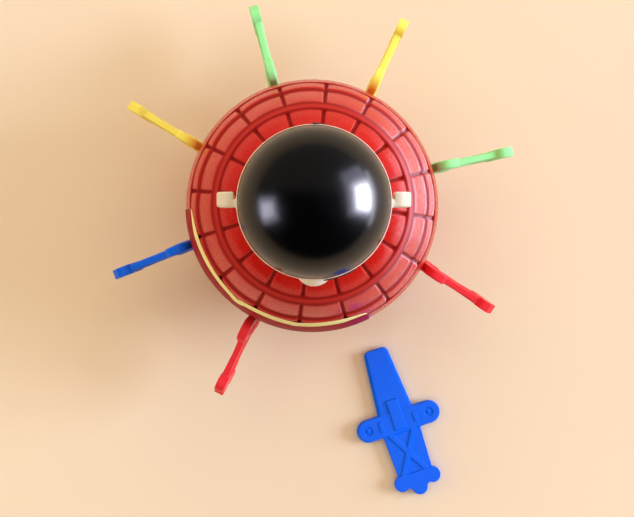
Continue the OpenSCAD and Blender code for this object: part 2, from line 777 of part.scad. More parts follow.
module blade() {
    lean = atan((blade_root_w - blade_tip_w) / 2 / (blade_len - tip_round));
    past = 1;
    reach = blade_len + 4 * past;
    difference() {
        translate([0, 0, -blade_t / 2]) linear_extrude(blade_t) blade_outline();
        // Bevels along both edges, on both faces
        for (s = [-1, 1], f = [-1, 1])
            translate([-guard_in, s * blade_root_w / 2, f * blade_t / 2]) rotate([0, 0, s * lean])
                rotate([0, 90, 0]) translate([0, 0, -reach]) linear_extrude(reach)
                polygon([[f * past, s * past], [f * blade_bevel, s * past], [f * blade_bevel, 0],
                         [0, -s * bevel_w], [-f * past, -s * bevel_w], [-f * past, s * past]]);
    }
}

module tab(side) {
    c = 0.5;
    translate([0, side * (guard_span / 2 - tab_r), 0]) difference() {
        revolve([[0, -guard_t / 2], [tab_r - c, -guard_t / 2], [tab_r, -guard_t / 2 + c],
                 [tab_r, guard_t / 2 - c], [tab_r - c, guard_t / 2], [0, guard_t / 2]]);
        for (f = [-1, 1]) translate([0, 0, f * guard_t / 2]) difference() {
            cylinder(h = 2 * dimple_d, r = dimple_r, center = true);
            cylinder(h = 4 * dimple_d, r = stud_r, center = true);
        }
    }
}

module guard() {
    c = 0.5;
    w = guard_w / 2;
    t = guard_t / 2;
    bar = guard_span - 2 * tab_r;
    for (s = [-1, 1]) tab(s);
    difference() {
        rotate([90, 0, 0]) translate([0, 0, -bar / 2]) linear_extrude(bar)
            polygon([[-w, -t + c], [-w + c, -t], [w - c, -t], [w, -t + c],
                     [w, t - c], [w - c, t], [-w + c, t], [-w, t - c]]);
        // The tabs and their dimples are drawn apart
        for (s = [-1, 1]) translate([0, s * bar / 2, 0])
            cylinder(h = 2 * guard_t, r = tab_r - 2 * c, center = true);
    }
    translate([-boss_in, -boss_w / 2, -boss_t / 2]) cube([boss_in + boss_out, boss_w, boss_t]);
    // Short bars that mark where the tabs begin
    for (s = [-1, 1])
        translate([0, s * side_bar_y, 0]) cube([side_bar_len, side_bar_w, side_bar_t], center = true);
}

module grip_outline() {
    polygon([[0, -grip_w / 2], [guard_in + grip_len, -grip_end_w / 2],
             [guard_in + grip_len, grip_end_w / 2], [0, grip_w / 2]]);
}

// Grip with two crossing ridges on each face
module grip() {
    ridge_w = 1.8;
    ridge_t = grip_t + 0.9;
    reach = grip_len + guard_in + 1;
    slant = atan((grip_w - 5) / (grip_len + 1));
    translate([0, 0, -grip_t / 2]) linear_extrude(grip_t) grip_outline();
    translate([0, 0, -ridge_t / 2]) linear_extrude(ridge_t) intersection() {
        grip_outline();
        for (s = [-1, 1]) translate([guard_in - 1, -s * (grip_w - 5) / 2]) rotate([0, 0, s * slant])
            translate([0, -ridge_w / 2]) square([reach + 6, ridge_w]);
    }
}

module pommel() {
    translate([0, 0, -pommel_t / 2]) linear_extrude(pommel_t) {
        for (s = [-1, 1]) translate([lobe_x, s * lobe_y]) circle(lobe_r);
        translate([end_lobe_x, 0]) circle(lobe_r);
        polygon([[guard_in + grip_len - 1, -grip_end_w / 2], [lobe_x, -lobe_y - lobe_r],
                 [lobe_x + 1.4, -lobe_y], [end_lobe_x, -lobe_r], [end_lobe_x, lobe_r],
                 [lobe_x + 1.4, lobe_y], [lobe_x, lobe_y + lobe_r],
                 [guard_in + grip_len - 1, grip_end_w / 2]]);
    }
}

module sword(tint) {
    color(tint) {
        blade();
        guard();
        grip();
        pommel();
    }
}

// Stands a sword in its slot: yaw sideways and roll about its length, in degrees
module in_slot(number, yaw = 0, roll = 0) {
    rotate([0, 0, slot_phase + number * slot_pitch]) translate([slot_r, 0, slot_z])
        rotate([0, 0, yaw]) rotate([0, sword_droop, 0]) translate([guard_in + guard_gap, 0, 0])
        rotate([90 + roll, 0, 0]) children();
}

module sword_green_right() { in_slot(0, -5) sword("#2fae4a"); }
module sword_yellow_right() { in_slot(1, 2) sword("#f0d21e"); }
module sword_green_left() { in_slot(2, -3) sword("#2fae4a"); }
module sword_yellow_left() { in_slot(3, -4) sword("#f0b81e"); }
module sword_blue_left() { in_slot(4, 4) sword("#1450c8"); }
module sword_red_left() { in_slot(5, 2.5, 4) sword("#d81e28"); }
module sword_red_right() { in_slot(7, -5, 4) sword("#d81e28"); }
module sword_blue_loose() {
    translate([loose_x, loose_y, boss_t / 2]) rotate([0, 0, loose_turn]) sword("#1464ee");
}

barrel_lower();
barrel_upper();
barrel_base();
base_screws();
label();
turret();
guide_collar();
turret_screw();
launch_spring();
launch_plate();
trigger_lever();
lever_pin();
trigger_spring();
pirate_foot();
pirate_body();
pirate_belt();
pirate_head();
pirate_cap();
eye_patch();
sword_green_right();
sword_yellow_right();
sword_green_left();
sword_yellow_left();
sword_blue_left();
sword_red_left();
sword_red_right();
sword_blue_loose();
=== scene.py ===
# %% [markdown]
# # A pop-up barrel game, dressed in Blender
#
# The solids are loaded as a fixed frame and get their looks: moulded plastic with rounded edges,
# a printed sticker, a lacquered cap, and the light of a table by a window. Everything is worked
# out in millimetres, and is in metres once it is in Blender.

# %% Load the frame
import json
import math

import bmesh
import bpy
import numpy as np
from mathutils import Matrix

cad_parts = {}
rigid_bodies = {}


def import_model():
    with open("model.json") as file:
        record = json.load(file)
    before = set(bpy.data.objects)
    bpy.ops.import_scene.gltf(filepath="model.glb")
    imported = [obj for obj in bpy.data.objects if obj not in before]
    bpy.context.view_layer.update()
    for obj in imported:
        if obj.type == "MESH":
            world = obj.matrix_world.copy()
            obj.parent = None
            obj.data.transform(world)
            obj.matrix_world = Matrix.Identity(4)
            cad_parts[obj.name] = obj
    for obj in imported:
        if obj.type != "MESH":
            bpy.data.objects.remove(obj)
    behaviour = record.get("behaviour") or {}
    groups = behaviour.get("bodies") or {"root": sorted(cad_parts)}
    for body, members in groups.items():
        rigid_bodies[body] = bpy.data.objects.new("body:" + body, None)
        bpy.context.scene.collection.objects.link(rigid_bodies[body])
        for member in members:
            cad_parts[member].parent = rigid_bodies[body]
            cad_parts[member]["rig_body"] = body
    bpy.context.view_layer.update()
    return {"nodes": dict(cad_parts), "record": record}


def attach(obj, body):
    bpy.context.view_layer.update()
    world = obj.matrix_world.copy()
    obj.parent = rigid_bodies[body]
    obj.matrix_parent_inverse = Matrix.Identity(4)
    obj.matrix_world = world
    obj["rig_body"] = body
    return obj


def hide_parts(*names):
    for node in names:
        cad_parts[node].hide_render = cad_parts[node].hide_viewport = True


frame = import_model()
nodes = frame["nodes"]
home = {name: solid["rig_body"] for name, solid in nodes.items()}
slots = {part["node"]: part["material_slot"] for part in frame["record"]["subparts"]}
MM = 0.001

# %% [markdown]
# ## The camera
#
# The photograph looks straight down from about 600 mm, as a camera with no rotation does. The
# scale gives the focal length: 1510 pixels, or 86 mm on a 36 mm wide sensor. The high dome and
# the low belly stand 1.6 pixels apart sideways and 4.3 pixels up and down, which puts the lens a
# little left of the barrel and below it. The photograph is a cut from a larger one, and the
# shift says how far its middle is from the lens.

# %% Camera
PICTURE_W = 634
FOCAL_PX = 1510
CAMERA_MM = (-5.9, -9.8, 600.0)
SHIFT_PX = (21.1, -26.2)
SENSOR_MM = 36.0


def put(name, data):
    """A new object at the origin, in the scene."""
    made = bpy.data.objects.new(name, data)
    bpy.context.scene.collection.objects.link(made)
    return made


camera_data = bpy.data.cameras.new("camera")
camera_data.sensor_width = SENSOR_MM
camera_data.lens = FOCAL_PX * SENSOR_MM / PICTURE_W
camera_data.shift_x, camera_data.shift_y = [px / PICTURE_W for px in SHIFT_PX]
camera = put("camera", camera_data)
camera.location = [c * MM for c in CAMERA_MM]
bpy.context.scene.camera = camera
bpy.context.scene.view_settings.view_transform = "Standard"
print("lens %.1f mm" % camera_data.lens)

# %% [markdown]
# ## Colours and finishes
#
# Colours are written in sRGB, as on a paint chart, and turned into the linear light that the
# renderer works in. The plastic came out of a polished steel mould: its colour is in the
# material, so nearly all the variation is in the gloss, which handling dulls in soft patches,
# and in a faint waviness where the plastic shrank. Noise nodes give both.

# %% Helpers for materials


def colour(code):
    """sRGB hex to linear: divide by 12.92 below 0.04045, else ((c + 0.055) / 1.055) to the power 2.4."""
    c = np.array([int(code[k:k + 2], 16) for k in (1, 3, 5)]) / 255
    linear = np.where(c <= 0.04045, c / 12.92, ((c + 0.055) / 1.055) ** 2.4)
    return (*linear.tolist(), 1.0)


def add_node(tree, kind, inputs=None, **settings):
    """Adds one node. settings are its own properties. inputs maps a socket to a value, to a colour's hex code or to
    another node's socket."""
    made = tree.nodes.new("ShaderNode" + kind)
    for key, value in settings.items():
        setattr(made, key, value)
    for key, value in (inputs or {}).items():
        socket = made.inputs[key]
        if isinstance(value, bpy.types.NodeSocket):
            tree.links.new(value, socket)
        else:
            socket.default_value = colour(value) if isinstance(value, str) else value
    return made


def start_material(name, **shader):
    """An empty material with its shader and output. shader gives values for the shader's own sockets."""
    material = bpy.data.materials.new(name)
    material.use_nodes = True
    tree = material.node_tree
    tree.nodes.clear()
    surface = add_node(tree, "BsdfPrincipled", {key.replace("_", " "): value for key, value in shader.items()})
    add_node(tree, "OutputMaterial", {"Surface": surface.outputs["BSDF"]})
    place = add_node(tree, "TexCoord").outputs["Object"]
    return material, tree, surface, place


def per_metre(size_mm):
    """Scale of a texture whose features are about size_mm across."""
    return 1000.0 / size_mm


def blend_of(tree, factor, first, second):
    """Colour between two others: first where the factor is 0, second where it is 1."""
    return add_node(tree, "Mix", {"Factor": factor, "A": first, "B": second}, data_type="RGBA").outputs["Result"]


def mapped(tree, value, low, high, first=0.0, last=1.0, **settings):
    """Maps a value from low .. high to first .. last, and holds it there outside them."""
    limits = {"From Min": low, "From Max": high, "To Min": first, "To Max": last}
    return add_node(tree, "MapRange", {"Value": value, **limits}, **settings).outputs["Result"]


def step_at(tree, value, edge, soft):
    """0 below an edge and 1 above it, along a smooth S over the width 2 * soft."""
    return mapped(tree, value, edge - soft, edge + soft, interpolation_type="SMOOTHSTEP")


def noise(tree, place, size_mm, detail, rough=0.5):
    """Fractal noise with features about size_mm across."""
    grain = {"Scale": per_metre(size_mm), "Detail": detail, "Roughness": rough}
    return add_node(tree, "TexNoise", {"Vector": place, **grain}).outputs["Fac"]


def emboss(tree, surface, *layers):
    """Bumps on a surface. Each layer is a height from 0 to 1 and its depth in millimetres."""
    earlier = {}
    for height, depth_mm in layers:
        bump = add_node(tree, "Bump", {"Height": height, "Strength": 1.0, "Distance": depth_mm * MM, **earlier})
        earlier = {"Normal": bump.outputs["Normal"]}
    tree.links.new(earlier["Normal"], surface.inputs["Normal"])


def calc(tree, operation, first, second=0.0):
    """One sum on one or two values."""
    return add_node(tree, "Math", {0: first, 1: second}, operation=operation).outputs[0]


def reading(tree, name):
    """The value that the mesh carries under a name."""
    return add_node(tree, "Attribute", attribute_name=name).outputs["Fac"]


PATCHES_MM, HANDLED_MM, GRIT_MM = 30.0, 7.0, 0.35
NO_GLOSS = 0.9


def moulded(name, body, light, gloss, dull, ior=1.52, wave_mm=9.0, wave=0.03, grit=0.0, subsurface=0.0,
            depth_mm=1.0, paint=None, dull_where=""):
    """Moulded plastic: two close shades of one colour, patches of gloss, a faint waviness and, where grit is above
    0, a fine grain. paint(tree, place, shade) puts paint over the plastic. dust names an attribute of the mesh, and
    where it rises to 0.6 the gloss is gone."""
    inside = dict(Subsurface_Weight=subsurface, Subsurface_Scale=depth_mm * MM, Subsurface_Radius=(1.0, 0.8, 0.6))
    material, tree, surface, place = start_material(name, IOR=ior, **(inside if subsurface else {}))
    shade = blend_of(tree, noise(tree, place, PATCHES_MM, 3.0, 0.55), body, light)
    if paint:
        shade = paint(tree, place, shade)
    tree.links.new(shade, surface.inputs["Base Color"])
    rough = mapped(tree, noise(tree, place, HANDLED_MM, 5.0, 0.6), 0.35, 0.75, gloss, dull)
    if dull_where:
        rough = mapped(tree, reading(tree, dull_where), 0.0, 0.6, rough, NO_GLOSS)
    tree.links.new(rough, surface.inputs["Roughness"])
    layers = [(noise(tree, place, wave_mm, 1.0), wave)]
    if grit:
        layers.append((noise(tree, place, GRIT_MM, 2.0), grit))
    emboss(tree, surface, *layers)
    return material


# %% [markdown]
# ## Choosing the plastics
#
# The barrel is red polystyrene, and its steep staves mirror the pale table. The swords are
# polyethylene, softer and a little cloudy. The launcher's pieces are unpainted nylon, milky and
# satin. The barrel's grooves and creases get painted shade, a deep red, and a duller gloss: the
# mesh carries how deep in a groove or how near a crease each point is, from 0 to 1.

# %% Plastics


def painted_groove_shade(tree, place, shade):
    """Paints shade into the grooves and creases: darkens the plastic to a deep red where the attribute recess is
    high.
    """
    return blend_of(tree, step_at(tree, reading(tree, "recess"), 0.45, 0.4), shade, "#940e08")


# The barrel's red gets painted shade in its grooves and creases, and a duller gloss there.
barrel_red = moulded("red_polystyrene", "#c4180e", "#ce1c13", 0.22, 0.34, ior=1.5, wave=0.04, paint=painted_groove_shade,
                     dull_where="recess")
base_red = moulded("dark_red_polystyrene_grained", "#9a1d16", "#a4251c", 0.38, 0.5, ior=1.59, grit=0.02)
nylon = moulded("natural_nylon", "#e4dcc6", "#ece6d4", 0.35, 0.5, subsurface=0.3, depth_mm=1.5, grit=0.01)
belt = moulded("black_vinyl", "#1b1815", "#24201c", 0.35, 0.5, grit=0.01)
sword_plastics = {
    "sword_" + hue: moulded(hue + "_polyethylene", body, light, 0.32, 0.44, ior=1.42, subsurface=0.25, depth_mm=0.4)
    for hue, body, light in (("green", "#98ee96", "#a6f4a0"), ("yellow", "#fce658", "#ffee6c"),
                             ("red", "#ee2832", "#f4343e"), ("blue", "#0062f2", "#046efa"))}

# %% [markdown]
# Screws are zinc-plated steel and springs are drawn wire. Both have fine lines, so a stretched
# noise roughens the reflection along one direction.

# %% Metals


def plated_steel(name, tint, rough):
    """Steel with fine drawing lines: noise squeezed along one axis changes the roughness."""
    material, tree, surface, place = start_material(name, Metallic=1.0, Base_Color=tint)
    squeezed = add_node(tree, "Mapping", {"Vector": place, "Scale": (1.0, 1.0, 6.0)})
    lines = noise(tree, squeezed.outputs["Vector"], 0.8, 4.0)
    tree.links.new(mapped(tree, lines, 0.3, 0.7, rough - 0.08, rough + 0.1), surface.inputs["Roughness"])
    return material


screw_steel = plated_steel("zinc_plated_steel", "#c9c9cc", 0.32)
spring_steel = plated_steel("drawn_spring_wire", "#b9bcc2", 0.25)

# %% [markdown]
# The cap is black lacquer over plastic. It has been handled, so its reflections are soft.

# %% Cap lacquer


def black_lacquer():
    """Black lacquer: short fine rubbing marks roughen it in patches."""
    material, tree, surface, place = start_material("black_lacquer", IOR=1.36, Base_Color="#020203")
    rub = noise(tree, place, 14.0, 6.0, 0.65)
    tree.links.new(mapped(tree, rub, 0.4, 0.75, 0.2, 0.27), surface.inputs["Roughness"])
    return material


cap_black = black_lacquer()

# %% [markdown]
# ## Paint on the pirate
#
# The head is cream vinyl with two things painted on by hand: a white eye with a dark pupil, and a
# touch of red on the cheeks. The shirt has painted stripes, and the hands are bare.

# %% Painted vinyl
EYE_MM = np.array([-10.2, -21.6, 107.0])
CHEEKS_MM = [np.array([-13.8, -14.0, 100.5]), np.array([13.8, -14.0, 100.5])]
STRIPE_MM = 4.6
HANDS_MM = [np.array([-2.2, -14.6, 75.0]), np.array([2.2, -14.6, 75.0])]


def distance_mm(tree, place, centre):
    """Distance in millimetres of each point of the surface from a centre."""
    gap = add_node(tree, "VectorMath", {0: place, 1: [float(c) * MM for c in centre]}, operation="DISTANCE")
    return calc(tree, "MULTIPLY", gap.outputs["Value"], 1000.0)


def face_paint(tree, place, shade):
    """Blushes the cheeks in a soft wide spot, then lays the eye: white, a dark ring, the pupil."""
    for centre in CHEEKS_MM:
        near = distance_mm(tree, place, centre)
        shade = blend_of(tree, step_at(tree, near, 4.0, 3.6), blend_of(tree, 0.45, shade, "#cf6d52"), shade)
    for radius, soft, code in ((3.35, 0.1, "#3a2418"), (2.95, 0.1, "#f6f1e6"), (1.5, 0.08, "#1a120e")):
        near = distance_mm(tree, place, EYE_MM + [0.1 * (3.4 - radius), 0, -0.1 * (3.4 - radius)])
        shade = blend_of(tree, step_at(tree, near, radius, soft), code, shade)
    return shade


def shirt_paint(tree, place, shade):
    """Cream stripes up the shirt, where the height over the stripes' distance has a fraction far from a half, and
    skin on the hands."""
    height = add_node(tree, "SeparateXYZ", {"Vector": place}).outputs["Z"]
    part = calc(tree, "FRACT", calc(tree, "MULTIPLY", height, per_metre(STRIPE_MM)))
    off_middle = calc(tree, "ABSOLUTE", calc(tree, "SUBTRACT", part, 0.5))
    shade = blend_of(tree, step_at(tree, off_middle, 0.26, 0.02), "#e9dfcb", shade)
    for centre in HANDS_MM:
        shade = blend_of(tree, step_at(tree, distance_mm(tree, place, centre), 3.3, 0.08), "#e6d2b2", shade)
    return shade


skin = moulded("cream_vinyl_painted", "#e9d9bc", "#efe1c8", 0.36, 0.48, subsurface=0.2, depth_mm=1.5, grit=0.006,
               paint=face_paint)
foot_vinyl = moulded("cream_vinyl", "#e9d9bc", "#efe1c8", 0.38, 0.5, subsurface=0.2, depth_mm=1.5, grit=0.006)
shirt = moulded("striped_vinyl", "#b82a20", "#c43428", 0.38, 0.5, grit=0.006, paint=shirt_paint)
moustache_vinyl = moulded("brown_vinyl", "#3b2416", "#4a2e1c", 0.4, 0.55, wave_mm=1.2, wave=0.12, grit=0.01)

# %% [markdown]
# ## The sticker's print
#
# The sticker is a maroon and violet field with a yellow border along its scalloped edges, and a
# gold frame round each slot. The mesh carries the distances to the edge and to the nearest slot.

# %% Printed film
INK = "#2a0a10"
SQUARE_MM = 3.2


def printed_film():
    """Screen-printed vinyl: a field with faint diagonal squares, gold frames round the slots, a yellow border."""
    material, tree, surface, place = start_material("printed_vinyl_film", IOR=1.45, Specular_IOR_Level=0.05)
    flat = add_node(tree, "UVMap", uv_map="UVMap").outputs["UV"]
    height = add_node(tree, "SeparateXYZ", {"Vector": flat}).outputs["Y"]
    shade = blend_of(tree, mapped(tree, height, 22.0, 70.0), "#5a1038", "#ac1016")
    askew = add_node(tree, "Mapping", {"Vector": flat, "Rotation": (0, 0, math.radians(45)),
                                       "Scale": (1 / SQUARE_MM, 1 / SQUARE_MM, 1.0)}).outputs["Vector"]
    squares = add_node(tree, "TexChecker", {"Vector": askew, "Scale": 1.0}).outputs["Fac"]
    shade = blend_of(tree, squares, shade, blend_of(tree, 0.35, shade, "#a81c2c"))
    for name, radius, code in (("slot_mm", 3.4, INK), ("slot_mm", 3.0, "#f0b23a"), ("slot_mm", 1.6, INK),
                               ("edge_mm", 3.7, INK), ("edge_mm", 3.3, "#fff0a2")):
        shade = blend_of(tree, step_at(tree, reading(tree, name), radius, 0.12), code, shade)
    tree.links.new(shade, surface.inputs["Base Color"])
    rough = mapped(tree, noise(tree, place, 5.0, 5.0), 0.3, 0.7, 0.4, 0.5)
    tree.links.new(rough, surface.inputs["Roughness"])
    emboss(tree, surface, (noise(tree, place, 6.0, 2.0), 0.05))
    return material


label_print = printed_film()

# %% [markdown]
# ## Giving the solids their finishes
#
# A solid whose shape is right stays as it is, and only its material changes.

# %% Finishes of the solids
finishes = {
    "barrel_red": barrel_red, "base_red": base_red, "screw_steel": screw_steel, "label_print": label_print,
    "mech_white": nylon, "trigger_white": nylon, "spring_steel": spring_steel, "skin_cream": foot_vinyl,
    "cap_black": cap_black, "shirt_red": shirt, "belt_black": belt, **sword_plastics}
for name, solid in nodes.items():
    solid.data.materials.clear()
    solid.data.materials.append(finishes[slots[name]])
print("finished", len(nodes), "solids")

# %% [markdown]
# ## Making a mesh from arrays
#
# Most pieces here are surfaces on a grid: rows of points along a profile, columns round the
# barrel. A grid that closes on itself both ways is a solid ring, like the wall of the barrel.
# Adding points one by one would be slow, so whole arrays are put into the mesh. The sign of the
# enclosed volume says whether the faces look outwards.

# %% Helpers for meshes


def beside(*arrays):
    """Arrays side by side along a new last axis."""
    return np.stack(np.broadcast_arrays(*arrays), axis=-1)


def polar(radius, angle, *more):
    """Points at a radius and an angle in a plane: radius times cosine, radius times sine, and what else is given."""
    return beside(radius * np.cos(angle), radius * np.sin(angle), *more)


def grid_quads(rows, cols, wrap_rows, wrap_cols):
    """Faces of a grid whose point (i, j) has the number i * cols + j.
    Each face joins (i, j), (i, j+1), (i+1, j+1), (i+1, j); a wrapped side joins its end to its start."""
    i = np.arange(rows if wrap_rows else rows - 1)[:, None]
    j = np.arange(cols if wrap_cols else cols - 1)[None, :]
    i2, j2 = (i + 1) % rows, (j + 1) % cols
    return beside(i * cols + j, i * cols + j2, i2 * cols + j2, i2 * cols + j).reshape(-1, 4)


def enclosed_volume(points, groups):
    """Volume inside a closed mesh: the sum of the tetrahedra from the origin to each triangle of a fan."""
    total = 0.0
    for face in groups:
        for k in range(1, face.shape[1] - 1):
            a, b, c = points[face[:, 0]], points[face[:, k]], points[face[:, k + 1]]
            total += float(np.einsum("ij,ij->", a, np.cross(b, c))) / 6
    return total


def dress(piece, like, stands_for=(), material=None):
    """Lets a piece ride on the body of the solid named like, with the finish of that solid's slot, and hides the
    solids it stands for.
    """
    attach(piece, home[like])
    piece.data.materials.clear()
    piece.data.materials.append(material or finishes[slots[like]])
    if stands_for:
        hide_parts(*stands_for)
    return piece


def shade_smooth(mesh):
    """Lets every face of a mesh blend into its neighbours."""
    mesh.polygons.foreach_set("use_smooth", np.ones(len(mesh.polygons), bool))


def make_mesh(name, points, groups, uv=None, attributes=None):
    """A smooth-shaded object from points in millimetres and a list of face arrays, each with its own number of
    corners. uv and attributes give values per point. A negative volume means that the faces look inwards: they
    are turned."""
    volume = enclosed_volume(points, groups)
    if volume < 0:
        groups = [g[:, ::-1] for g in groups]
    corners = np.concatenate([g.ravel() for g in groups]).astype(np.int32)
    counts = np.concatenate([np.full(len(g), g.shape[1]) for g in groups]).astype(np.int32)
    mesh = bpy.data.meshes.new(name)
    mesh.vertices.add(len(points))
    mesh.vertices.foreach_set("co", (points * MM).astype(np.float32).ravel())
    mesh.loops.add(len(corners))
    mesh.loops.foreach_set("vertex_index", corners)
    mesh.polygons.add(len(counts))
    mesh.polygons.foreach_set("loop_start", (np.cumsum(counts) - counts).astype(np.int32))
    shade_smooth(mesh)
    if uv is not None:
        mesh.uv_layers.new(name="UVMap").data.foreach_set("uv", uv[corners].astype(np.float32).ravel())
    for key, values in (attributes or {}).items():
        mesh.attributes.new(key, "FLOAT", "POINT").data.foreach_set("value", values.astype(np.float32))
    mesh.update()
    mesh.validate()
    piece = put(name, mesh)
    print(f"{name}: {len(points)} points, {len(counts)} faces, {abs(volume) / 1000:.2f} cm3")
    return piece


def settle(piece):
    """Works a piece's modifiers into its mesh."""
    graph = bpy.context.evaluated_depsgraph_get()
    made = bpy.data.meshes.new_from_object(piece.evaluated_get(graph), preserve_all_data_layers=True, depsgraph=graph)
    piece.modifiers.clear()
    piece.data = made
    return piece


def one_skin(piece, voxel, rounds):
    """Joins overlapping shapes to one skin with a voxel remesh, and smooths it to soften the creases."""
    skin_step = piece.modifiers.new("skin", "REMESH")
    skin_step.mode = "VOXEL"
    skin_step.voxel_size = voxel * MM
    skin_step.use_smooth_shade = True
    even = piece.modifiers.new("even", "SMOOTH")
    even.factor, even.iterations = 0.5, rounds
    settle(piece)
    shade_smooth(piece.data)
    print(f"{piece.name}: one skin of {len(piece.data.polygons)} faces")
    return piece


# %% [markdown]
# ## Rounding a solid's edges
#
# The solids have sharp edges where a mould has a small radius that catches the light. A copy of
# the mesh is merged, its flat areas become single faces, and a Bevel rounds each sharp edge.
# Normals weighted by area keep the flats flat.

# %% Rounded copies


def merged_copy(node, name, place=None, flat_deg=0.0):
    """A new object with a solid's mesh, its doubled points merged, moved by the matrix place. Neighbouring faces
    within flat_deg of each other become one."""
    mesh = nodes[node].data.copy()
    shape = bmesh.new()
    shape.from_mesh(mesh)
    bmesh.ops.remove_doubles(shape, verts=shape.verts, dist=0.002 * MM)
    if flat_deg:
        bmesh.ops.dissolve_limit(shape, angle_limit=math.radians(flat_deg), verts=shape.verts, edges=shape.edges)
    shape.to_mesh(mesh)
    shape.free()
    if place:
        mesh.transform(place)
    return put(name, mesh)


def soften(node, width):
    """A copy of a solid with its edges rounded by width in millimetres; it replaces the solid."""
    piece = merged_copy(node, node + "_rounded", flat_deg=0.6)
    shade_smooth(piece.data)
    rounding = piece.modifiers.new("rounding", "BEVEL")
    rounding.width, rounding.segments = width * MM, 3
    rounding.limit_method, rounding.angle_limit = "ANGLE", math.radians(32)
    rounding.use_clamp_overlap = False
    piece.modifiers.new("flats", "WEIGHTED_NORMAL").weight = 80
    settle(piece)
    print(f"{piece.name}: {len(piece.data.polygons)} faces")
    return dress(piece, node, [node])


# %% [markdown]
# ## The barrel's shape
#
# Both mouldings follow one bow, widest half way up. The staves stand back from it towards a small
# ledge, a hoop goes round above them, and a rounded shoulder runs to the rim. The same sizes
# made the solids, so the new walls lie where the solids' walls are.

# %% Sizes of the barrel
BARREL_H = 92.0
BELLY_R, BOW_R, RIM_R, MOUTH_R = 46.0, 66.0, 25.5, 21.4
WALL = 2.0
SHOULDER_H, HOOP_H, HOOP_PROUD = 5.8, 2.8, 0.5
STAVE_H, STAVE_STEP, LEDGE_FALL, BAND_H = 11.8, 0.8, 1.2, 5.9
STAVES, STAVE_PHASE, GAP_DEPTH = 16, 16.0, 1.0
HOOP_TOP = BARREL_H - SHOULDER_H
HOOP_LOW = HOOP_TOP - HOOP_H
STAVE_LOW = HOOP_LOW - STAVE_H
BAND_TOP = STAVE_LOW - LEDGE_FALL
SEAM_Z = BAND_TOP - BAND_H
LIP_H = 3.0
FOOT_Z = 1.6
TUBE_H, TUBE_T = 4.0, 1.4
SLOTS, SLOT_PHASE, SLOT_Z, SLOT_W, SLOT_H, SLOT_ROUND = 8, 17.5, 33.0, 5.2, 17.0, 1.2


def bow(z):
    """Radius of the barrel at a height: belly radius, less the arc's sagitta at that distance from the middle."""
    return BELLY_R - BOW_R + np.sqrt(BOW_R ** 2 - (z - BARREL_H / 2) ** 2)


def inner_wall(z):
    """Radius of the wall's inside."""
    return bow(z) - WALL


def stave(z):
    """Radius of a stave: the bow, less a step that grows in proportion from the hoop down to the ledge."""
    return bow(z) - STAVE_STEP * (HOOP_LOW - z) / STAVE_H


def shoulder(t):
    """Shoulder from the hoop (0) to the rim (1): height rises as 0.35 sin squared plus 0.65 t, and the radius falls
    as 0.55 t plus 0.45 t squared."""
    z = HOOP_TOP + SHOULDER_H * (0.35 * np.sin(np.pi / 2 * t) ** 2 + 0.65 * t)
    r = bow(HOOP_TOP) + (RIM_R - bow(HOOP_TOP)) * (0.55 * t + 0.45 * t * t)
    return beside(r, z)


def curve_of(radius, z0, z1, n):
    """n points of a radius function between two heights."""
    z = np.linspace(z0, z1, n)
    return beside(radius(z), z)


print("belly %.1f mm, seam at %.1f mm, ledge %.2f to %.2f mm" % (BELLY_R, SEAM_Z, stave(STAVE_LOW), bow(BAND_TOP)))

# %% [markdown]
# ## The line of the wall
#
# A moulding is one closed line of points, outside and inside, turned round the axis. Besides
# radius and height, each point carries how deep the gaps between the staves are cut there, from
# 0 to 1, and how far its corner is rounded.

# %% Closed line of a wall
CORNER_STEPS = 4


def part_of(points, cut=0.0, reach=0.0):
    """A stretch of the line: its points, how deep the gaps are cut there, and the rounding of its two ends."""
    points = np.atleast_2d(np.asarray(points, float))
    rounding = np.zeros(len(points))
    rounding[[0, -1]] = reach
    return np.column_stack([points, np.full(len(points), cut), rounding])


def corners(*points):
    """Single points of the line where no gaps are cut, each with its own rounding."""
    r, z, rounding = np.array(points, float).T
    return np.column_stack([r, z, np.zeros(len(r)), rounding])


def closed_line(parts):
    """Joins stretches to a closed line. A corner becomes a parabola that starts and ends its own rounding away from
    it, or 0.45 of the way to its neighbour where that is nearer."""
    line = np.concatenate(parts)
    t = np.linspace(0, 1, CORNER_STEPS)[:, None]
    out = []
    for k, point in enumerate(line):
        if point[3] == 0:
            out.append(point[None, :3])
            continue
        before, after = line[k - 1] - point, line[(k + 1) % len(line)] - point
        lb, la = np.hypot(*before[:2]), np.hypot(*after[:2])
        a = point + before * min(point[3] / lb, 0.45)
        b = point + after * min(point[3] / la, 0.45)
        out.append(((1 - t) ** 2 * a + 2 * t * (1 - t) * point + t ** 2 * b)[:, :3])
    return np.concatenate(out)


def unit(vectors):
    """The same directions with length 1: each vector divided by its length."""
    return vectors / np.linalg.norm(vectors, axis=-1, keepdims=True)


def outward(line):
    """Unit vector square to a closed line at each point: its run turned a quarter turn to the right."""
    run = unit(np.roll(line[:, :2], -1, axis=0) - np.roll(line[:, :2], 1, axis=0))
    return beside(run[:, 1], -run[:, 0])


HOOP_EDGE, HOOP_CROWN, HOOP_ROUND = 0.3, 0.1, 0.25
GAP_END, GAP_FADE = 0.25, 0.12
EDGE_ROUND, CREASE_ROUND, RIM_ROUND = 0.22, 0.15, 0.6


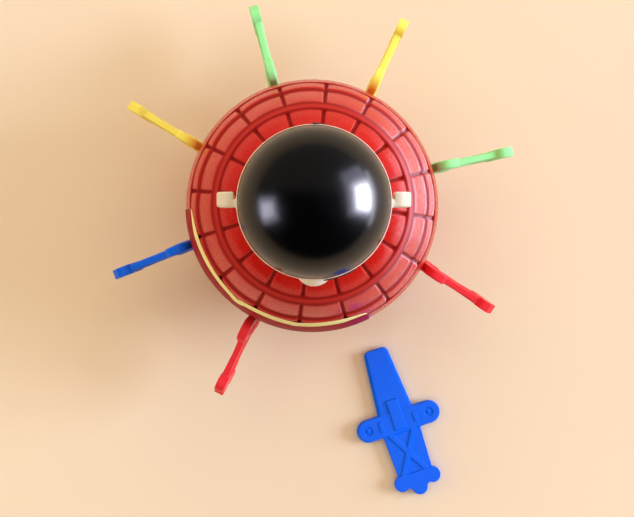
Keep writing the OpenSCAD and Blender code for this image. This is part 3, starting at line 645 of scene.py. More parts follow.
def end_parts():
    """Staves, hoop and shoulder. The hoop's face is three points: its lower edge, its crown and its upper edge. The
    gaps end just short of the hoop and fade out at the rim."""
    low, top = bow(HOOP_LOW) + HOOP_PROUD, bow(HOOP_TOP) + HOOP_PROUD
    hoop = [[low, HOOP_LOW + HOOP_EDGE], [(low + top) / 2 + HOOP_CROWN, (HOOP_LOW + HOOP_TOP) / 2],
            [top, HOOP_TOP - HOOP_EDGE]]
    t = np.linspace(0, 1, 20)
    rise = part_of(shoulder(t))
    rise[:, 2] = np.clip((1 - t) / GAP_FADE, 0, 1)
    rise[0, 2:] = 0.0, CREASE_ROUND
    rise[-1, 3] = RIM_ROUND
    return [part_of(curve_of(stave, STAVE_LOW, HOOP_LOW - GAP_END, 12), 1.0, EDGE_ROUND),
            corners([stave(HOOP_LOW), HOOP_LOW, CREASE_ROUND]), part_of(hoop, 0.0, HOOP_ROUND), rise]


# %% [markdown]
# ## Columns that follow the gaps
#
# The gaps between the staves keep their width all the way up, while the barrel gets narrower. So
# near a gap the columns of the grid keep their distance from its middle in millimetres, and
# between two gaps they share what is left. Each stave is also a little rounder than the barrel.
# On the belly there are no gaps, and every second group of gap columns slides over to the sides
# of a sword slot.

# %% Columns and relief
GAP_COLUMNS = np.array([-1.2, -0.95, -0.78, -0.5, -0.13, 0, 0.13, 0.5, 0.78, 0.95, 1.2])
GAP_PROFILE = np.array([0, 0.04, 0.2, 0.6, 0.98, 1, 0.98, 0.6, 0.2, 0.04, 0])
WINDOW_COLUMNS = np.array([-3.8, -2.9, -2.2, -1.5, -0.75, 0, 0.75, 1.5, 2.2, 2.9, 3.8])
BETWEEN = np.linspace(0, 1, 10)[1:-1]
PITCH = 2 * np.pi / STAVES
CROWN = 0.22
CHANNEL = np.concatenate([GAP_PROFILE, np.zeros(len(BETWEEN))])
EDGE_COLS = len(GAP_COLUMNS)
GROUP = EDGE_COLS + len(BETWEEN)


def column_angles(radius, slide=0.0):
    """Angles of all columns at each radius: the gap's columns are millimetres divided by the radius, and the columns
    between run evenly from one gap's last column to the next gap's first. Where slide is 1, every second group
    stands at a slot instead, at the arc sine of its distance over the radius."""
    r, slide = radius[:, None], np.broadcast_to(slide, radius.shape)[:, None]
    plain = GAP_COLUMNS / r
    at_slot = np.radians(SLOT_PHASE - STAVE_PHASE) + np.arcsin(WINDOW_COLUMNS / r)
    near = np.stack([plain + slide * (at_slot - plain), plain] * (STAVES // 2), axis=1)
    near = near + (PITCH * np.arange(STAVES))[:, None]
    following = np.roll(near[:, :, :1], -1, axis=1)
    following[:, -1] += 2 * np.pi
    between = near[:, :, -1:] + (following - near[:, :, -1:]) * BETWEEN
    return np.radians(STAVE_PHASE) + np.concatenate([near, between], axis=2).reshape(len(radius), -1)


def relief_depth(cut):
    """Depth below the smooth wall: the gap's rounded channel, plus the crown of the stave, which grows with the
    square of the distance from the stave's middle."""
    crown = np.concatenate([np.ones(EDGE_COLS), (2 * BETWEEN - 1) ** 2]) * CROWN
    return cut[:, None] * np.tile(CHANNEL * GAP_DEPTH + crown, STAVES)


def recess(line):
    """How deep in a groove each point of the wall is, from 0 to 1: the gap's channel, or nearness to a crease,
    exp(-(distance / reach) squared), whichever is more. It sets where painted shade darkens the plastic. The foot
    end is measured as the upper end's mirror image."""
    upper = beside(line[:, 0], np.where(line[:, 1] < BARREL_H / 2, BARREL_H - line[:, 1], line[:, 1]))
    near = np.zeros(len(line))
    # Painted shade: each crease's reach spreads the darkening past the crease itself, as a soft dark line.
    for r, z, reach, points in ((stave(HOOP_LOW), HOOP_LOW, 1.5, upper), (bow(HOOP_TOP), HOOP_TOP, 0.7, upper),
                                (stave(STAVE_LOW), STAVE_LOW, 1.2, upper), (bow(SEAM_Z), SEAM_Z, 0.9, line[:, :2])):
        near = np.maximum(near, np.exp(-(np.linalg.norm(points - [r, z], axis=1) / reach) ** 2))
    return np.maximum(near[:, None], line[:, 2, None] * np.tile(CHANNEL, STAVES))


def turned_wall(line, angles):
    """Points of the wall: the line at its rows' angles, pushed in by the relief, square to the surface on the
    shoulder and straight towards the axis elsewhere."""
    square = outward(line)
    push = np.where(((line[:, 1] > HOOP_TOP) | (line[:, 1] < BARREL_H - HOOP_TOP))[:, None], square, [1.0, 0.0])
    depth = relief_depth(line[:, 2])
    r = line[:, 0, None] - push[:, 0, None] * depth
    z = line[:, 1, None] - push[:, 1, None] * depth
    return polar(r, angles, z)


# %% [markdown]
# ## The upper moulding
#
# From the seam upwards: a band, the ledge, the staves, the hoop, the shoulder and the flat rim;
# then down the short tube of the mouth, down the inside, and round the lip that drops into the
# lower moulding.

# %% Upper moulding
WALL_ASLANT = 1.41
inner_shoulder = shoulder(np.linspace(0, 1, 12))
inner_shoulder = inner_shoulder - WALL * outward(inner_shoulder)
inner_shoulder[0] = [bow(HOOP_TOP) - WALL_ASLANT, HOOP_TOP - WALL_ASLANT]
inner_shoulder = inner_shoulder[:-1][::-1]
inner_shoulder = inner_shoulder[inner_shoulder[:, 0] > MOUTH_R + TUBE_T + 0.5]
LIP_LOW = SEAM_Z - LIP_H
upper_line = closed_line([
    part_of(curve_of(bow, SEAM_Z, BAND_TOP, 6), 1.0, EDGE_ROUND), *end_parts(),
    corners([MOUTH_R, BARREL_H, 0.7], [MOUTH_R, BARREL_H - TUBE_H, 0.4], [MOUTH_R + TUBE_T, BARREL_H - TUBE_H, 0.4],
            [MOUTH_R + TUBE_T, BARREL_H - WALL, 0.3]),
    part_of(inner_shoulder), part_of(curve_of(inner_wall, HOOP_LOW, SEAM_Z + 2.5, 8)),
    corners([inner_wall(SEAM_Z) - 1, SEAM_Z + 1.5, 0], [inner_wall(SEAM_Z) - 1, SEAM_Z, 0],
            [inner_wall(LIP_LOW), LIP_LOW, 0.2], [bow(LIP_LOW) - 1.1, LIP_LOW, 0.2], [bow(SEAM_Z) - 1.2, SEAM_Z, 0])])
upper_points = turned_wall(upper_line, column_angles(upper_line[:, 0]))
# The upper moulding carries the recess values, which set its painted shade in the grooves and creases.
barrel_top = make_mesh("barrel_top_moulding", upper_points.reshape(-1, 3),
                       [grid_quads(*upper_points.shape[:2], True, True)],
                       attributes={"recess": recess(upper_line).ravel()})
dress(barrel_top, "barrel_upper", ["barrel_upper"])

# %% [markdown]
# ## The lower moulding
#
# Its foot end is the mirror image of the upper end. Rows and columns of the grid frame a window
# round each of the eight slots, outside and inside. The faces in that window are left out, and
# rings of points fill it again: from the window's edge in to the slot's rounded outline, through
# the wall, and out to the edge inside.

# %% Lower moulding
WINDOW_HALF_H = 9.7
WINDOW_Z = np.linspace(SLOT_Z - WINDOW_HALF_H, SLOT_Z + WINDOW_HALF_H, 15)


def border(grid):
    """The values round the edge of a 2-D array, starting along its first row."""
    return np.concatenate([grid[0, :-1], grid[:-1, -1], grid[-1, :0:-1], grid[:0:-1, 0]])


def mirrored(parts):
    """The same stretches for the foot end: back to front, with their heights turned over."""
    return [np.column_stack([p[::-1, 0], BARREL_H - p[::-1, 1], p[::-1, 2:]]) for p in reversed(parts)]


foot_end = mirrored(end_parts())
foot_end[0] = foot_end[0][foot_end[0][:, 1] > FOOT_Z + 0.5]
ledge_z = BARREL_H - BAND_TOP
lower_line = closed_line([
    corners([RIM_R, FOOT_Z, 0.3]), *foot_end, part_of(curve_of(bow, ledge_z, ledge_z + 0.85, 3), 1.0, EDGE_ROUND),
    part_of(curve_of(bow, ledge_z + 1.0, ledge_z + 1.3, 2)), part_of(beside(bow(WINDOW_Z), WINDOW_Z)),
    part_of(curve_of(bow, WINDOW_Z[-1] + 1, SEAM_Z - 0.3, 14)),
    corners([bow(SEAM_Z), SEAM_Z, 0.2], [bow(SEAM_Z) - 1, SEAM_Z, 0.1], [bow(LIP_LOW) - 1, LIP_LOW - 0.2, 0]),
    part_of(curve_of(inner_wall, LIP_LOW - 0.5, WINDOW_Z[-1] + 1, 9)),
    part_of(beside(inner_wall(WINDOW_Z), WINDOW_Z)[::-1]), part_of(curve_of(inner_wall, WINDOW_Z[0] - 1, 8.6, 8)),
    corners([inner_wall(5.8), 6.4, 1.0], [RIM_R - WALL, 3.8, 0.4], [RIM_R - WALL, FOOT_Z, 0.2])])
outside_rows = int(np.flatnonzero(np.isclose(lower_line[:, 1], WINDOW_Z[0]))[0])
inside_rows = int(np.flatnonzero(np.isclose(lower_line[:, 1], WINDOW_Z[-1]))[-1])
half_way = np.arange(len(lower_line)) < (outside_rows + inside_rows) // 2
ramp = np.clip(np.where(half_way, (lower_line[:, 1] - ledge_z - 0.9) / 0.7, (lower_line[:, 1] - 9.0) / 11.0), 0, 1)
slide = ramp * ramp * (3 - 2 * ramp)
lower_points = turned_wall(lower_line, column_angles(lower_line[:, 0], slide))
rows, cols = lower_points.shape[:2]
last = len(WINDOW_Z) - 1
quad_row, quad_col = np.divmod(np.arange(rows * cols), cols)
in_rows = [(quad_row >= first_row) & (quad_row < first_row + last) for first_row in (outside_rows, inside_rows)]
in_window = (in_rows[0] | in_rows[1]) & (quad_col % (2 * GROUP) < EDGE_COLS - 1)
lower_quads = grid_quads(rows, cols, True, True)[~in_window]

loop_row, loop_col = np.divmod(border(np.arange((last + 1) * EDGE_COLS).reshape(-1, EDGE_COLS)), EDGE_COLS)
at_edge = beside(WINDOW_COLUMNS[loop_col], WINDOW_Z[loop_row] - SLOT_Z)
core = np.array([SLOT_W / 2 - SLOT_ROUND, SLOT_H / 2 - SLOT_ROUND])
nearest = np.clip(at_edge, -core, core)
away = unit(at_edge - nearest)
RINGS = np.array([[0.6, 0], [0.3, 0], [0.13, 0.02], [0.03, 0.1], [0, 0.25], [0, 1], [0, 1.75], [0.03, 1.9],
                  [0.13, 1.98], [0.3, 2], [0.6, 2]])
flat = nearest + away * (SLOT_ROUND + RINGS[:, 0])[:, None, None]
ring_r = bow(SLOT_Z + flat[..., 1]) - RINGS[:, 1, None]
local = beside(np.sqrt(ring_r ** 2 - flat[..., 0] ** 2), flat[..., 0], SLOT_Z + flat[..., 1])


def turned(points, degrees):
    """Points turned about the Z axis: x cos - y sin, x sin + y cos, z."""
    a = np.radians(degrees)
    spin = np.array([[np.cos(a), np.sin(a), 0], [-np.sin(a), np.cos(a), 0], [0, 0, 1]])
    return points @ spin


all_points, groups = [lower_points.reshape(-1, 3)], [lower_quads]
count = rows * cols
for k in range(SLOTS):
    first_col = 2 * GROUP * k
    outer_loop = (outside_rows + loop_row) * cols + first_col + loop_col
    inner_loop = (inside_rows + last - loop_row) * cols + first_col + loop_col
    rings = count + np.arange(local[..., 0].size).reshape(local.shape[:2])
    loops = np.concatenate([outer_loop[None], rings, inner_loop[None]])
    a, b = loops[:-1], loops[1:]
    groups.append(beside(a, np.roll(a, -1, axis=1), np.roll(b, -1, axis=1), b).reshape(-1, 4))
    all_points.append(turned(local.reshape(-1, 3), SLOT_PHASE + k * 360 / SLOTS))
    count += local[..., 0].size
# The lower moulding carries the same values for painted shade; the slots' rings get none.
lower_recess = np.pad(recess(lower_line).ravel(), (0, count - rows * cols))
dress(make_mesh("barrel_bottom_moulding", np.concatenate(all_points), groups, attributes={"recess": lower_recess}),
      "barrel_lower", ["barrel_lower"])

# %% [markdown]
# Inside the foot, three bosses take the screws of the base, and a rib ties each to the wall. A
# boss could be a cylinder with a hole cut out, but a line of radius and height that doesn't touch
# the axis turns into a closed ring at once. A rib is a plate with an outline of its own.

# %% Bosses
BOSS_RING_R, BOSS_R, BOSS_HOLE_R, BOSS_LOW, BOSS_TOP, RIB_T = 19.6, 3.0, 1.2, 4.6, 16.0, 1.6
SIDES = 40


def spun(line, sides=SIDES):
    """A line of radius and height turned round the Z axis: radius times cosine and sine at each of the columns."""
    a = np.linspace(0, 2 * np.pi, sides, endpoint=False)
    return polar(line[:, :1], a, line[:, 1:2])


def plate(outline, low, top, soft=0.25):
    """Points and faces of a flat plate between two values of the third coordinate, with its outline drawn in a little
    at both."""
    levels = [(low, soft), (low + soft * 0.3, soft * 0.3), (low + soft, 0), (top - soft, 0),
              (top - soft * 0.3, soft * 0.3), (top, soft)]
    n, out = len(outline), outward(outline)
    points = np.concatenate([np.column_stack([outline - out * inset, np.full(n, z)]) for z, inset in levels])
    start = np.arange(n)[None]
    return points, [grid_quads(len(levels), n, False, True), start[:, ::-1], start + (len(levels) - 1) * n]


def joined(shapes):
    """Puts several closed shapes into one list of points and faces, all turned outwards."""
    points, groups, count = [], [], 0
    for p, faces in shapes:
        if enclosed_volume(p, faces) < 0:
            faces = [f[:, ::-1] for f in faces]
        points.append(p)
        groups += [f + count for f in faces]
        count += len(p)
    return np.concatenate(points), groups


boss = spun(closed_line([corners([BOSS_R, BOSS_LOW, 0.4], [BOSS_R, BOSS_TOP, 0.4], [BOSS_HOLE_R, BOSS_TOP, 0.3],
                                 [BOSS_HOLE_R, BOSS_LOW, 0.3])]))
rib_z = np.linspace(BOSS_LOW + 2, BOSS_TOP, 8)
rib_outline = np.concatenate([[[BOSS_RING_R + 2.7, BOSS_TOP], [BOSS_RING_R + 2.7, BOSS_LOW + 2]],
                              beside(inner_wall(rib_z) + 0.5, rib_z)])
rib, rib_faces = plate(rib_outline, -RIB_T / 2, RIB_T / 2)
shapes = []
for turn in (90, 210, 330):
    shapes += [(turned(boss.reshape(-1, 3) + [BOSS_RING_R, 0, 0], turn), [grid_quads(*boss.shape[:2], True, True)]),
               (turned(rib[:, [0, 2, 1]] * [1, -1, 1], turn), rib_faces)]
dress(make_mesh("barrel_bosses", *joined(shapes)), "barrel_lower")

# %% [markdown]
# ## The sticker
#
# The sticker covers 115 degrees of the belly. Its top and bottom edges are scalloped, and the
# photograph shows the lobes of the top edge to be uneven. It is a thin closed sheet, and the
# three slots under it are cut out, a little larger than the slots themselves.

# %% Label
LABEL_FROM, LABEL_SPAN = 182.0, 114.7
LABEL_TOP, LABEL_LOW, TOP_WAVE, LOW_WAVE = 69.8, 22.5, 4.5, 2.5
TOP_LOBES, TOP_NOTCHES = [0.0, 49.5, 80.0, 114.7], [1.0, 0.85, 0.3, 1.0]
LOW_LOBES, LOW_NOTCHES = [0.0, 38.2, 76.5, 114.7], [1.0, 1.0, 1.0, 1.0]
LABEL_GAP, LABEL_T, LABEL_MARGIN = 0.06, 0.25, 0.6
LABEL_SLOTS = np.array([4, 5, 6])
LABEL_ROWS, LABEL_COLS = 81, 481
BORDER_TAPER, CUTTER_HALF = 9, 6


def scallop(turn_deg, lobes, notches):
    """How far the edge falls back, from 0 to 1: 1 minus a sine to the power 0.4 over each lobe, times how deep the
    notches beside it are."""
    phase = np.interp(turn_deg, lobes, np.arange(len(lobes)))
    return np.interp(turn_deg, lobes, notches) * (1 - np.abs(np.sin(np.pi * phase)) ** 0.4)


half = np.radians(LABEL_SPAN / 2)
across = np.linspace(-half, half, LABEL_COLS)
label_deg = np.degrees(across) + LABEL_SPAN / 2
low_z = LABEL_LOW + LOW_WAVE * scallop(label_deg, LOW_LOBES, LOW_NOTCHES)
top_z = LABEL_TOP - TOP_WAVE * scallop(label_deg, TOP_LOBES, TOP_NOTCHES)
up = np.linspace(0, 1, LABEL_ROWS)[:, None]
label_z = low_z + (top_z - low_z) * up
label_arc = bow(label_z) * across
edges = np.concatenate([beside(label_arc[0], low_z), beside(label_arc[-1], top_z)])
spots = beside(label_arc, label_z).reshape(-1, 2)
to_end = bow(label_z).ravel() * np.tile(half - np.abs(across), len(label_z))
edge_mm = np.min(np.linalg.norm(spots[:, None] - edges[None], axis=-1), axis=1)
edge_mm = edge_mm / np.clip(to_end / BORDER_TAPER, 0.05, 1)
slot_angles = np.radians(SLOT_PHASE + 360 / SLOTS * LABEL_SLOTS - LABEL_FROM - LABEL_SPAN / 2)
slot_mm = np.full(len(spots), 99.0)
for angle in slot_angles:
    offset = spots - beside(bow(spots[:, 1]) * angle, np.full(len(spots), SLOT_Z))
    past_core = np.abs(offset) - core
    slot_mm = np.minimum(slot_mm, np.linalg.norm(np.maximum(past_core, 0), axis=1) - SLOT_ROUND)
label_turn = across + np.radians(LABEL_FROM + LABEL_SPAN / 2)
sheets = [polar(bow(label_z) + lift, label_turn, label_z).reshape(-1, 3) for lift in (LABEL_GAP + LABEL_T, LABEL_GAP)]
faces = grid_quads(*label_z.shape, False, False)
rim = border(np.arange(label_z.size).reshape(label_z.shape))
rim_faces = beside(rim, rim + label_z.size, np.roll(rim, -1) + label_z.size, np.roll(rim, -1))
label = make_mesh("barrel_sticker", np.concatenate(sheets), [faces, faces[:, ::-1] + label_z.size, rim_faces],
                  uv=np.tile(spots, (2, 1)),
                  attributes={"edge_mm": np.tile(edge_mm, 2), "slot_mm": np.tile(slot_mm, 2)})
corner = np.linspace(0, np.pi / 2, 7)
hole = np.concatenate([core * signs + (SLOT_ROUND + LABEL_MARGIN) * polar(1.0, corner + turn) for signs, turn in (
    ([1, 1], 0), ([-1, 1], np.pi / 2), ([-1, -1], np.pi), ([1, -1], 1.5 * np.pi))])
cutters = []
for k in LABEL_SLOTS:
    block, faces = plate(hole, bow(SLOT_Z) - CUTTER_HALF, bow(SLOT_Z) + CUTTER_HALF, soft=0.0)
    placed = turned(block[:, [2, 0, 1]] + [0, 0, SLOT_Z], SLOT_PHASE + k * 360 / SLOTS)
    cutters.append(make_mesh("slot_cutter", placed, faces))
    cut = label.modifiers.new("slot", "BOOLEAN")
    cut.object, cut.solver = cutters[-1], "EXACT"
settle(label)
for cutter in cutters:
    bpy.data.objects.remove(cutter)
shade_smooth(label.data)
label.data.set_sharp_from_angle(angle=math.radians(40))
dress(label, "label", ["label"])

# %% [markdown]
# ## The swords
#
# All eight swords came out of one mould. The loose one's solid is taken back to its own place,
# lying along X, and joined to one soft skin by a voxel remesh, because a Bevel fails where the
# blade, the guard and the knobs meet. Eight copies are then put where the solids are. In a slot,
# a sword stands on edge, leans down a little, and is a bit askew.

# %% Swords
VOXEL_FINE = 0.25
SWORD_DROOP, GUARD_OUT = 11.0, 5.1
LOOSE_MM, LOOSE_TURN = (34.6, -84.6, 2.1), 288.4
IN_SLOTS = {"sword_green_right": (0, -5, 0), "sword_yellow_right": (1, 2, 0), "sword_green_left": (2, -3, 0),
            "sword_yellow_left": (3, -4, 0), "sword_blue_left": (4, 4, 0), "sword_red_left": (5, 2.5, 4),
            "sword_red_right": (7, -5, 4)}


def turn_by(degrees, axis):
    """A turn about one axis."""
    return Matrix.Rotation(math.radians(degrees), 4, axis)


def shift_by(x, y, z):
    """A move by millimetres."""
    return Matrix.Translation((x * MM, y * MM, z * MM))


def in_slot(number, yaw, roll):
    """Place of a sword in a slot: stood on edge, moved out by its guard, leaned down, turned aside, carried there."""
    return (turn_by(SLOT_PHASE + number * 360 / SLOTS, "Z") @ shift_by(bow(SLOT_Z), 0, SLOT_Z) @ turn_by(yaw, "Z") @
            turn_by(SWORD_DROOP, "Y") @ shift_by(GUARD_OUT, 0, 0) @ turn_by(90 + roll, "X"))


places = {name: in_slot(*where) for name, where in IN_SLOTS.items()}
places["sword_blue_loose"] = shift_by(*LOOSE_MM) @ turn_by(LOOSE_TURN, "Z")
home_place = places["sword_blue_loose"].inverted()
pattern = one_skin(merged_copy("sword_blue_loose", "sword_pattern", home_place), VOXEL_FINE, 2)
for name, place in places.items():
    mesh = pattern.data.copy()
    mesh.transform(place)
    dress(put(name + "_moulding", mesh), name, [name])
    print(name, "is", len(mesh.polygons), "faces")
bpy.data.objects.remove(pattern)

# %% [markdown]
# ## The launcher and the base
#
# These keep the solids' shapes, with rounded edges.

# %% Rounded pieces
for name, width in (("turret", 0.2), ("guide_collar", 0.2), ("launch_plate", 0.25), ("trigger_lever", 0.25),
                    ("pirate_foot", 0.3), ("pirate_belt", 0.25), ("barrel_base", 0.25), ("base_screws", 0.12),
                    ("turret_screw", 0.12), ("lever_pin", 0.12)):
    soften(name, width)

# %% [markdown]
# ## The head
#
# The head is one blown shell of vinyl. It is built from closed shapes that overlap: a turned ball
# with a flat chin, the nose, the ears, cheeks, brow, eyeball and lip. A voxel remesh joins them
# into one skin, and smoothing turns the creases into fillets.

# %% Head
HEAD_Z, HEAD_R, CHIN_Z = 112.0, 25.4, 93.5
CAP_LOW, CAP_R, CAP_T = 111.3, 25.0, 1.6
HEAD_SIDES, BALL_SIDES, TUBE_SIDES, VOXEL_HEAD = 160, 48, 20, 0.42


def capped(grid, first, last):
    """Closes both ends of a round grid with a point."""
    n, sides = grid.shape[:2]
    a = np.arange(sides)
    b = (a + 1) % sides
    start, end = beside(b, a, n * sides), beside(a + (n - 1) * sides, b + (n - 1) * sides, n * sides + 1)
    return np.concatenate([grid.reshape(-1, 3), [first, last]]), [grid_quads(n, sides, False, True), start, end]


def pole_line(line, sides):
    """A line of radius and height that starts and ends on the axis, turned round it."""
    return capped(spun(line[1:-1], sides), [0, 0, line[0, 1]], [0, 0, line[-1, 1]])


def ball(centre, radii):
    """An ellipsoid: a half circle turned round the axis, stretched by the radii and moved to its centre."""
    t = np.linspace(-np.pi / 2, np.pi / 2, BALL_SIDES // 2 + 1)
    points, groups = pole_line(polar(1.0, t), BALL_SIDES)
    return points * radii + centre, groups


def toward(azimuth, elevation):
    """Unit vector: cosines of both angles, sine of the first with cosine of the second, sine of the second."""
    a, e = np.radians([azimuth, elevation])
    return np.array([np.cos(a) * np.cos(e), np.sin(a) * np.cos(e), np.sin(e)])


def on_head(azimuth, elevation, radius):
    """A point over the head: its direction in degrees, times its distance from the head's middle."""
    return toward(azimuth, elevation) * radius + [0, 0, HEAD_Z]


def tube(path, radii):
    """A round tube along a path: the path, plus its radius times the cosine of one side vector and the sine of
    another. A point closes each end."""
    run = unit(np.gradient(path, axis=0))
    side = unit(np.cross(run, [0.0, 1.0, 0.0]))
    up = np.cross(side, run)
    a = np.linspace(0, 2 * np.pi, TUBE_SIDES, endpoint=False)
    ring = np.cos(a)[:, None] * side[:, None] + np.sin(a)[:, None] * up[:, None]
    return capped(path[:, None] + radii[:, None, None] * ring, path[0], path[-1])


low = np.degrees(np.arcsin((CHIN_Z - HEAD_Z) / HEAD_R))
high = np.degrees(np.arcsin((CAP_LOW - 0.3 - HEAD_Z) / HEAD_R))
climb = np.radians(np.linspace(low + 2.5, high, 60))
chin_r = np.sqrt(HEAD_R ** 2 - (HEAD_Z - CHIN_Z) ** 2)
crown = np.radians(np.linspace(-1, 90, 30))
head_line = np.concatenate([
    [[0, CHIN_Z], [chin_r * 0.5, CHIN_Z], [chin_r - 1.1, CHIN_Z], [chin_r - 0.3, CHIN_Z + 0.25]],
    polar(HEAD_R, climb) + [0, HEAD_Z], polar(CAP_R - CAP_T - 0.5, crown) + [0, HEAD_Z]])
head_line[-1, 0] = 0

EAR_R, EAR_OUT, EAR_Z, EAR_FRONT, EAR_BACK, EAR_HALF = 6.0, 31.9, 105.0, -1.6, 3.4, 5.5
EAR_T, BOWL_R, BOWL_T = 1.7, 3.9, 0.7
sweep = np.radians(np.linspace(-86, 86, 45))
rim_outline = beside(EAR_OUT - EAR_R + EAR_R * np.cos(sweep), np.clip(EAR_R * np.sin(sweep), -EAR_HALF, EAR_HALF))
lobe_outline = np.concatenate([[[EAR_OUT - 2 * EAR_R, EAR_HALF - 0.4], [EAR_OUT - 2 * EAR_R, 0.4 - EAR_HALF]],
                               rim_outline - [[0.3, 0]]])
ring_turn = np.radians(np.linspace(-100, 100, 41))
NOSE, NOSTRIL, EYEBALL, CHEEK = [6.0, 5.6, 6.0], [2.3, 2.6, 2.1], 3.1, [4.6, 4.0, 4.3]
shapes = [pole_line(head_line, HEAD_SIDES), ball([0, -22.0, 104.0], NOSE),
          *[ball([x, -22.2, 102.4], NOSTRIL) for x in (-4.6, 4.6)], ball(EYE_MM + [1.3, 2.7, 0], EYEBALL),
          *[ball(centre, CHEEK) for centre in CHEEKS_MM]]
BROW, LIP = (-115, 10, -5.5, -2.0, 0.75, 0.85), (-90, 13, -38.5, 3.0, 0.2, 0.95)
t = np.linspace(-1, 1, 25)
for turn, half_turn, rise, bend, sunk, thick in (BROW, LIP):
    path = np.array([on_head(turn + half_turn * k, rise + bend * k * k, HEAD_R - sunk) for k in t])
    shapes.append(tube(path, thick * np.sqrt(np.clip(1 - t ** 2, 0.01, 1))))
for sign in (1, -1):
    for outline, y0, y1 in ((lobe_outline, EAR_FRONT, EAR_FRONT + EAR_T), (rim_outline, EAR_FRONT, EAR_BACK)):
        block, faces = plate(outline, y0, y1)
        shapes.append((block[:, [0, 2, 1]] * [sign, 1, 1] + [0, 0, EAR_Z], faces))
    bowl = beside(EAR_OUT - EAR_R + 0.3 + BOWL_R * np.cos(ring_turn), EAR_FRONT + 0.4,
                  EAR_Z + BOWL_R * np.sin(ring_turn))
    shapes.append(tube(bowl * [sign, 1, 1], BOWL_T * np.sqrt(np.clip(1 - (ring_turn / 1.76) ** 6, 0.05, 1))))
head = one_skin(make_mesh("pirate_face", *joined(shapes)), VOXEL_HEAD, 4)
dress(head, "pirate_head", ["pirate_head"], skin)

# %% [markdown]
# The moustache is a separate moulding in brown vinyl. Each half is a tube that swells quickly and
# runs out to a thin tip that curls up.

# %% Moustache
HALF_FROM, HALF_SPAN, UNDER_NOSE, SAG, CURL = 1.5, 34, -34.5, 3.5, 13
THICK, TIP = 2.1, 0.22
run = np.linspace(0, 1, 40)
halves = []
for sign in (1, -1):
    path = np.array([on_head(-90 + sign * (HALF_FROM + HALF_SPAN * s),
                             UNDER_NOSE - SAG * np.sin(np.pi * min(s * 1.3, 1)) + CURL * s ** 3,
                             HEAD_R + 0.1) for s in run])
    swell = THICK * (1 - run) ** 0.75 * np.sqrt(np.clip(run * 7 + 0.15, 0, 1)) + TIP
    halves.append(tube(path, swell))
moustache = one_skin(make_mesh("pirate_moustache", *joined(halves)), VOXEL_FINE, 3)
dress(moustache, "pirate_head", material=moustache_vinyl)

# %% [markdown]
# ## The cap and the patch
#
# The cap is a turned shell with a rounded lip and a very low hem. The patch is a shallow dish bent
# to the head, and a flat strap leads from under the cap, over the patch and round below the ear.

# %% Cap
DOME_R = CAP_R - 0.12
HEM_PROUD, HEM_H, HEM_SOFT = 0.1, 3.0, 0.12
rise_out = np.radians(np.linspace(90, np.degrees(np.arcsin((CAP_LOW - HEAD_Z + 0.45) / DOME_R)), 90))
hem = HEM_PROUD / (1 + np.exp(((HEAD_Z + DOME_R * np.sin(rise_out)) - (CAP_LOW + HEM_H)) / HEM_SOFT))
outside = polar(DOME_R + hem, rise_out) + [0, HEAD_Z]
outside[0, 0] = 0
rise_in = np.radians(np.linspace(np.degrees(np.arcsin((CAP_LOW - HEAD_Z + 0.4) / (CAP_R - CAP_T))), 90, 40))
inside = polar(CAP_R - CAP_T, rise_in) + [0, HEAD_Z]
inside[-1, 0] = 0
lip_line = np.array([[DOME_R + 0.05, CAP_LOW + 0.2], [DOME_R - 0.1, CAP_LOW + 0.03], [DOME_R - 0.3, CAP_LOW],
                     [CAP_R - CAP_T + 0.3, CAP_LOW], [CAP_R - CAP_T + 0.05, CAP_LOW + 0.1]])
cap = make_mesh("pirate_headscarf", *pole_line(np.concatenate([outside, lip_line, inside]), HEAD_SIDES))
dress(cap, "pirate_cap", ["pirate_cap"])

# %% Eye patch and strap
PATCH_TURN, PATCH_DROP, PATCH_R, PATCH_SIDES, STRAP_DROP = -65.0, 12.0, 4.2, 64, 31
half = np.degrees(np.arcsin(PATCH_R / (HEAD_R + 0.3)))
swing = np.radians(np.linspace(0, half - 0.6, 16))
dish_top = HEAD_R + 0.35 + 0.2 * (1 - np.exp(-((np.degrees(swing) - half + 1.2) / 0.9) ** 2))
dish_line = np.concatenate([
    polar(dish_top, swing), polar(HEAD_R + np.array([0.33, 0.15, 0.05]), np.radians([half, half, half - 0.5])),
    polar(HEAD_R + 0.05, swing[::-1])])[:, ::-1]
dish_line[[0, -1], 0] = 0
points, groups = pole_line(dish_line, PATCH_SIDES)


def aimed(points, turn_deg, drop_deg):
    """Tips the Z axis of some points towards a direction round the head and below level."""
    tip = np.radians(90 + drop_deg)
    lean = np.array([[np.cos(tip), 0, -np.sin(tip)], [0, 1, 0], [np.sin(tip), 0, np.cos(tip)]])
    return turned(points @ lean, turn_deg) + [0, 0, HEAD_Z]


dress(make_mesh("patch_dish", aimed(points, PATCH_TURN, PATCH_DROP), groups), "eye_patch", ["eye_patch"])

ahead = toward(PATCH_TURN, -PATCH_DROP)
square_to = unit(np.cross(ahead, toward(0, -STRAP_DROP)))
second = np.cross(square_to, ahead)
t = np.linspace(-np.pi, np.pi, 721)
circle = np.cos(t)[:, None] * ahead + np.sin(t)[:, None] * second
clear = circle[:, 2] * (HEAD_R + 0.1) < CAP_LOW - HEAD_Z - 0.05
start = np.flatnonzero(~clear & (t < 0))[-1] + 1
end = np.flatnonzero(~clear & (t > 0))[0]
circle = circle[start:end:2]
STRAP = np.array([[-0.75, 0.05], [-0.75, 0.28], [-0.55, 0.36], [0.55, 0.36], [0.75, 0.28], [0.75, 0.05]])
strap = circle[:, None] * (HEAD_R + STRAP[:, 1])[:, None] + square_to * STRAP[:, 0][:, None] + [0, 0, HEAD_Z]
n, m = strap.shape[:2]
ends = [np.arange(m)[None, ::-1], np.arange(m)[None] + (n - 1) * m]
dress(make_mesh("patch_strap", strap.reshape(-1, 3), [grid_quads(n, m, False, True), *ends]), "eye_patch")

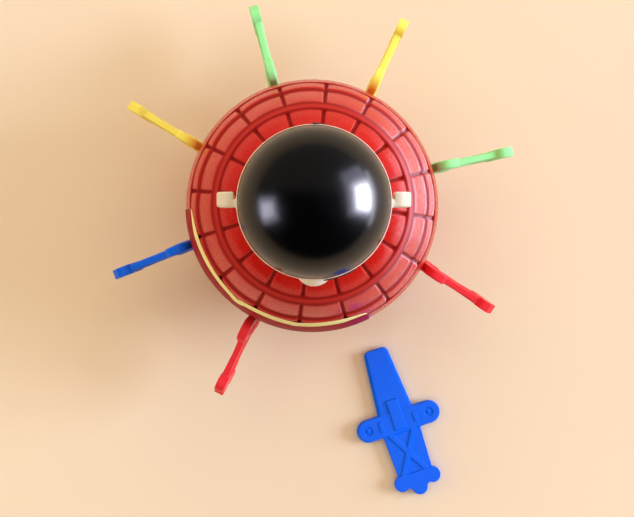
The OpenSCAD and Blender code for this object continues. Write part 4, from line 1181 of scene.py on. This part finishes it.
# %% [markdown]
# ## The body
#
# The body is soft vinyl with folded arms. Sculpting would lose the solid's sizes, so a copy of
# the solid is joined to one skin, which gives it the fillets of a moulded figure.

# %% Body
VOXEL_BODY = 0.36
dress(one_skin(merged_copy("pirate_body", "pirate_shirt"), VOXEL_BODY, 4), "pirate_body", ["pirate_body"])

# %% [markdown]
# ## The floor, the light and the room
#
# Five soft lights stand for the room: a cool window low on the right, which throws the shadow to
# the left, the ceiling, and the warm walls. They aren't seen in the gloss. What the gloss shows
# are the panes. The cap's bright patch on the right sits where its surface leans by about 38
# degrees, so the pane stands 14 degrees above the table, with larger and dimmer panes behind it.
# They light only the cap, because the photograph shows no such patch on the barrel's shoulder.
# Two panes under the table stand for the window's glare on it, one for the cap's right edge and
# one for the barrel's right side.

# %% Floor
FLOOR = 1.2
floor_mesh = bpy.data.meshes.new("floor")
floor_mesh.from_pydata([(-FLOOR, -FLOOR, 0), (FLOOR, -FLOOR, 0), (FLOOR, FLOOR, 0), (-FLOOR, FLOOR, 0)], [],
                       [(0, 1, 2, 3)])
floor = put("floor", floor_mesh)
floor_mesh.materials.append(start_material("pale_table", Roughness=0.4, Base_Color="#f6dcb8")[0])

# %% Lights
AIM_Z = 0.1


def window(name, direction_deg, rise_deg, distance, size, watts, tint):
    """A rectangular light that faces the barrel, from a direction round it and an angle above the table."""
    data = bpy.data.lights.new(name, "AREA")
    data.shape = "RECTANGLE"
    data.size, data.size_y = size
    data.energy = watts
    data.color = colour(tint)[:3]
    lamp = put(name, data)
    lamp.location = toward(direction_deg, rise_deg) * distance + [0, 0, AIM_Z]
    lamp.rotation_euler = (math.radians(90 - rise_deg), 0, math.radians(direction_deg + 90))
    return lamp


SOFT_LIGHTS = [
    ("right_window", 5, 20, 2.4, (1.2, 1.2), 85.0, "#c6d8ff"),
    ("overhead", 0, 90, 1.4, (3.0, 3.0), 28.0, "#fff0db"),
    ("far_wall", 90, 16, 1.5, (1.4, 0.6), 7.0, "#fff0db"),
    ("left_wall", 180, 12, 1.5, (1.2, 0.5), 7.0, "#fff0db"),
    ("near_wall", 270, 14, 1.5, (1.2, 0.5), 2.5, "#fff0db"),
]
PANES = [
    ("right_pane", 5, 13, 1.3, (0.62, 0.58), 75.0, "#eef1ff"),
    ("right_blind", 6, 14, 1.35, (0.9, 0.85), 40.0, "#e9ecff"),
    ("right_curtain", 12, 20, 1.5, (1.7, 1.2), 34.0, "#dfe0ff"),
    ("left_pane", 190, 16, 1.3, (0.4, 0.5), 9.0, "#ebe8ff"),
    ("left_curtain", 190, 16, 1.35, (0.75, 0.8), 11.0, "#ebe8ff"),
]
for lamp in SOFT_LIGHTS:
    window(*lamp).visible_glossy = False
mirror = bpy.data.collections.new("mirrors_the_windows")
mirror.objects.link(cap)
for lamp in PANES:
    pane = window(*lamp)
    pane.visible_diffuse = False
    pane.light_linking.receiver_collection = mirror
for lamp, piece in ((("glare_in_barrel", 4, -36, 0.6, (0.55, 0.32), 20.0, "#dfe6ff"), barrel_top),
                    (("glare_in_cap", 4, -17, 0.6, (0.6, 0.3), 6.0, "#e9e6ff"), cap)):
    glare = window(*lamp)
    glare.visible_diffuse = False
    sees = bpy.data.collections.new(lamp[0])
    sees.objects.link(piece)
    glare.light_linking.receiver_collection = glare.light_linking.blocker_collection = sees

world = bpy.data.worlds.new("room")
bpy.context.scene.world = world
world.use_nodes = True
room = world.node_tree
room.nodes.clear()
sky = add_node(room, "TexCoord").outputs["Generated"]
parts = add_node(room, "SeparateXYZ", {"Vector": sky})
RISE, GLOW = (0.03, 0.5), (0.006, 0.36)
far_wall = mapped(room, parts.outputs["Y"], *RISE, *GLOW, interpolation_type="SMOOTHSTEP")
wall = add_node(room, "Background", {"Color": "#fbf0e4", "Strength": far_wall})
paper = add_node(room, "Background", {"Color": "#f4ebdd", "Strength": 1.0})
seen = add_node(room, "LightPath").outputs["Is Camera Ray"]
tone = add_node(room, "MixShader", {0: seen, 1: wall.outputs["Background"], 2: paper.outputs["Background"]})
add_node(room, "OutputWorld", {"Surface": tone.outputs["Shader"]})
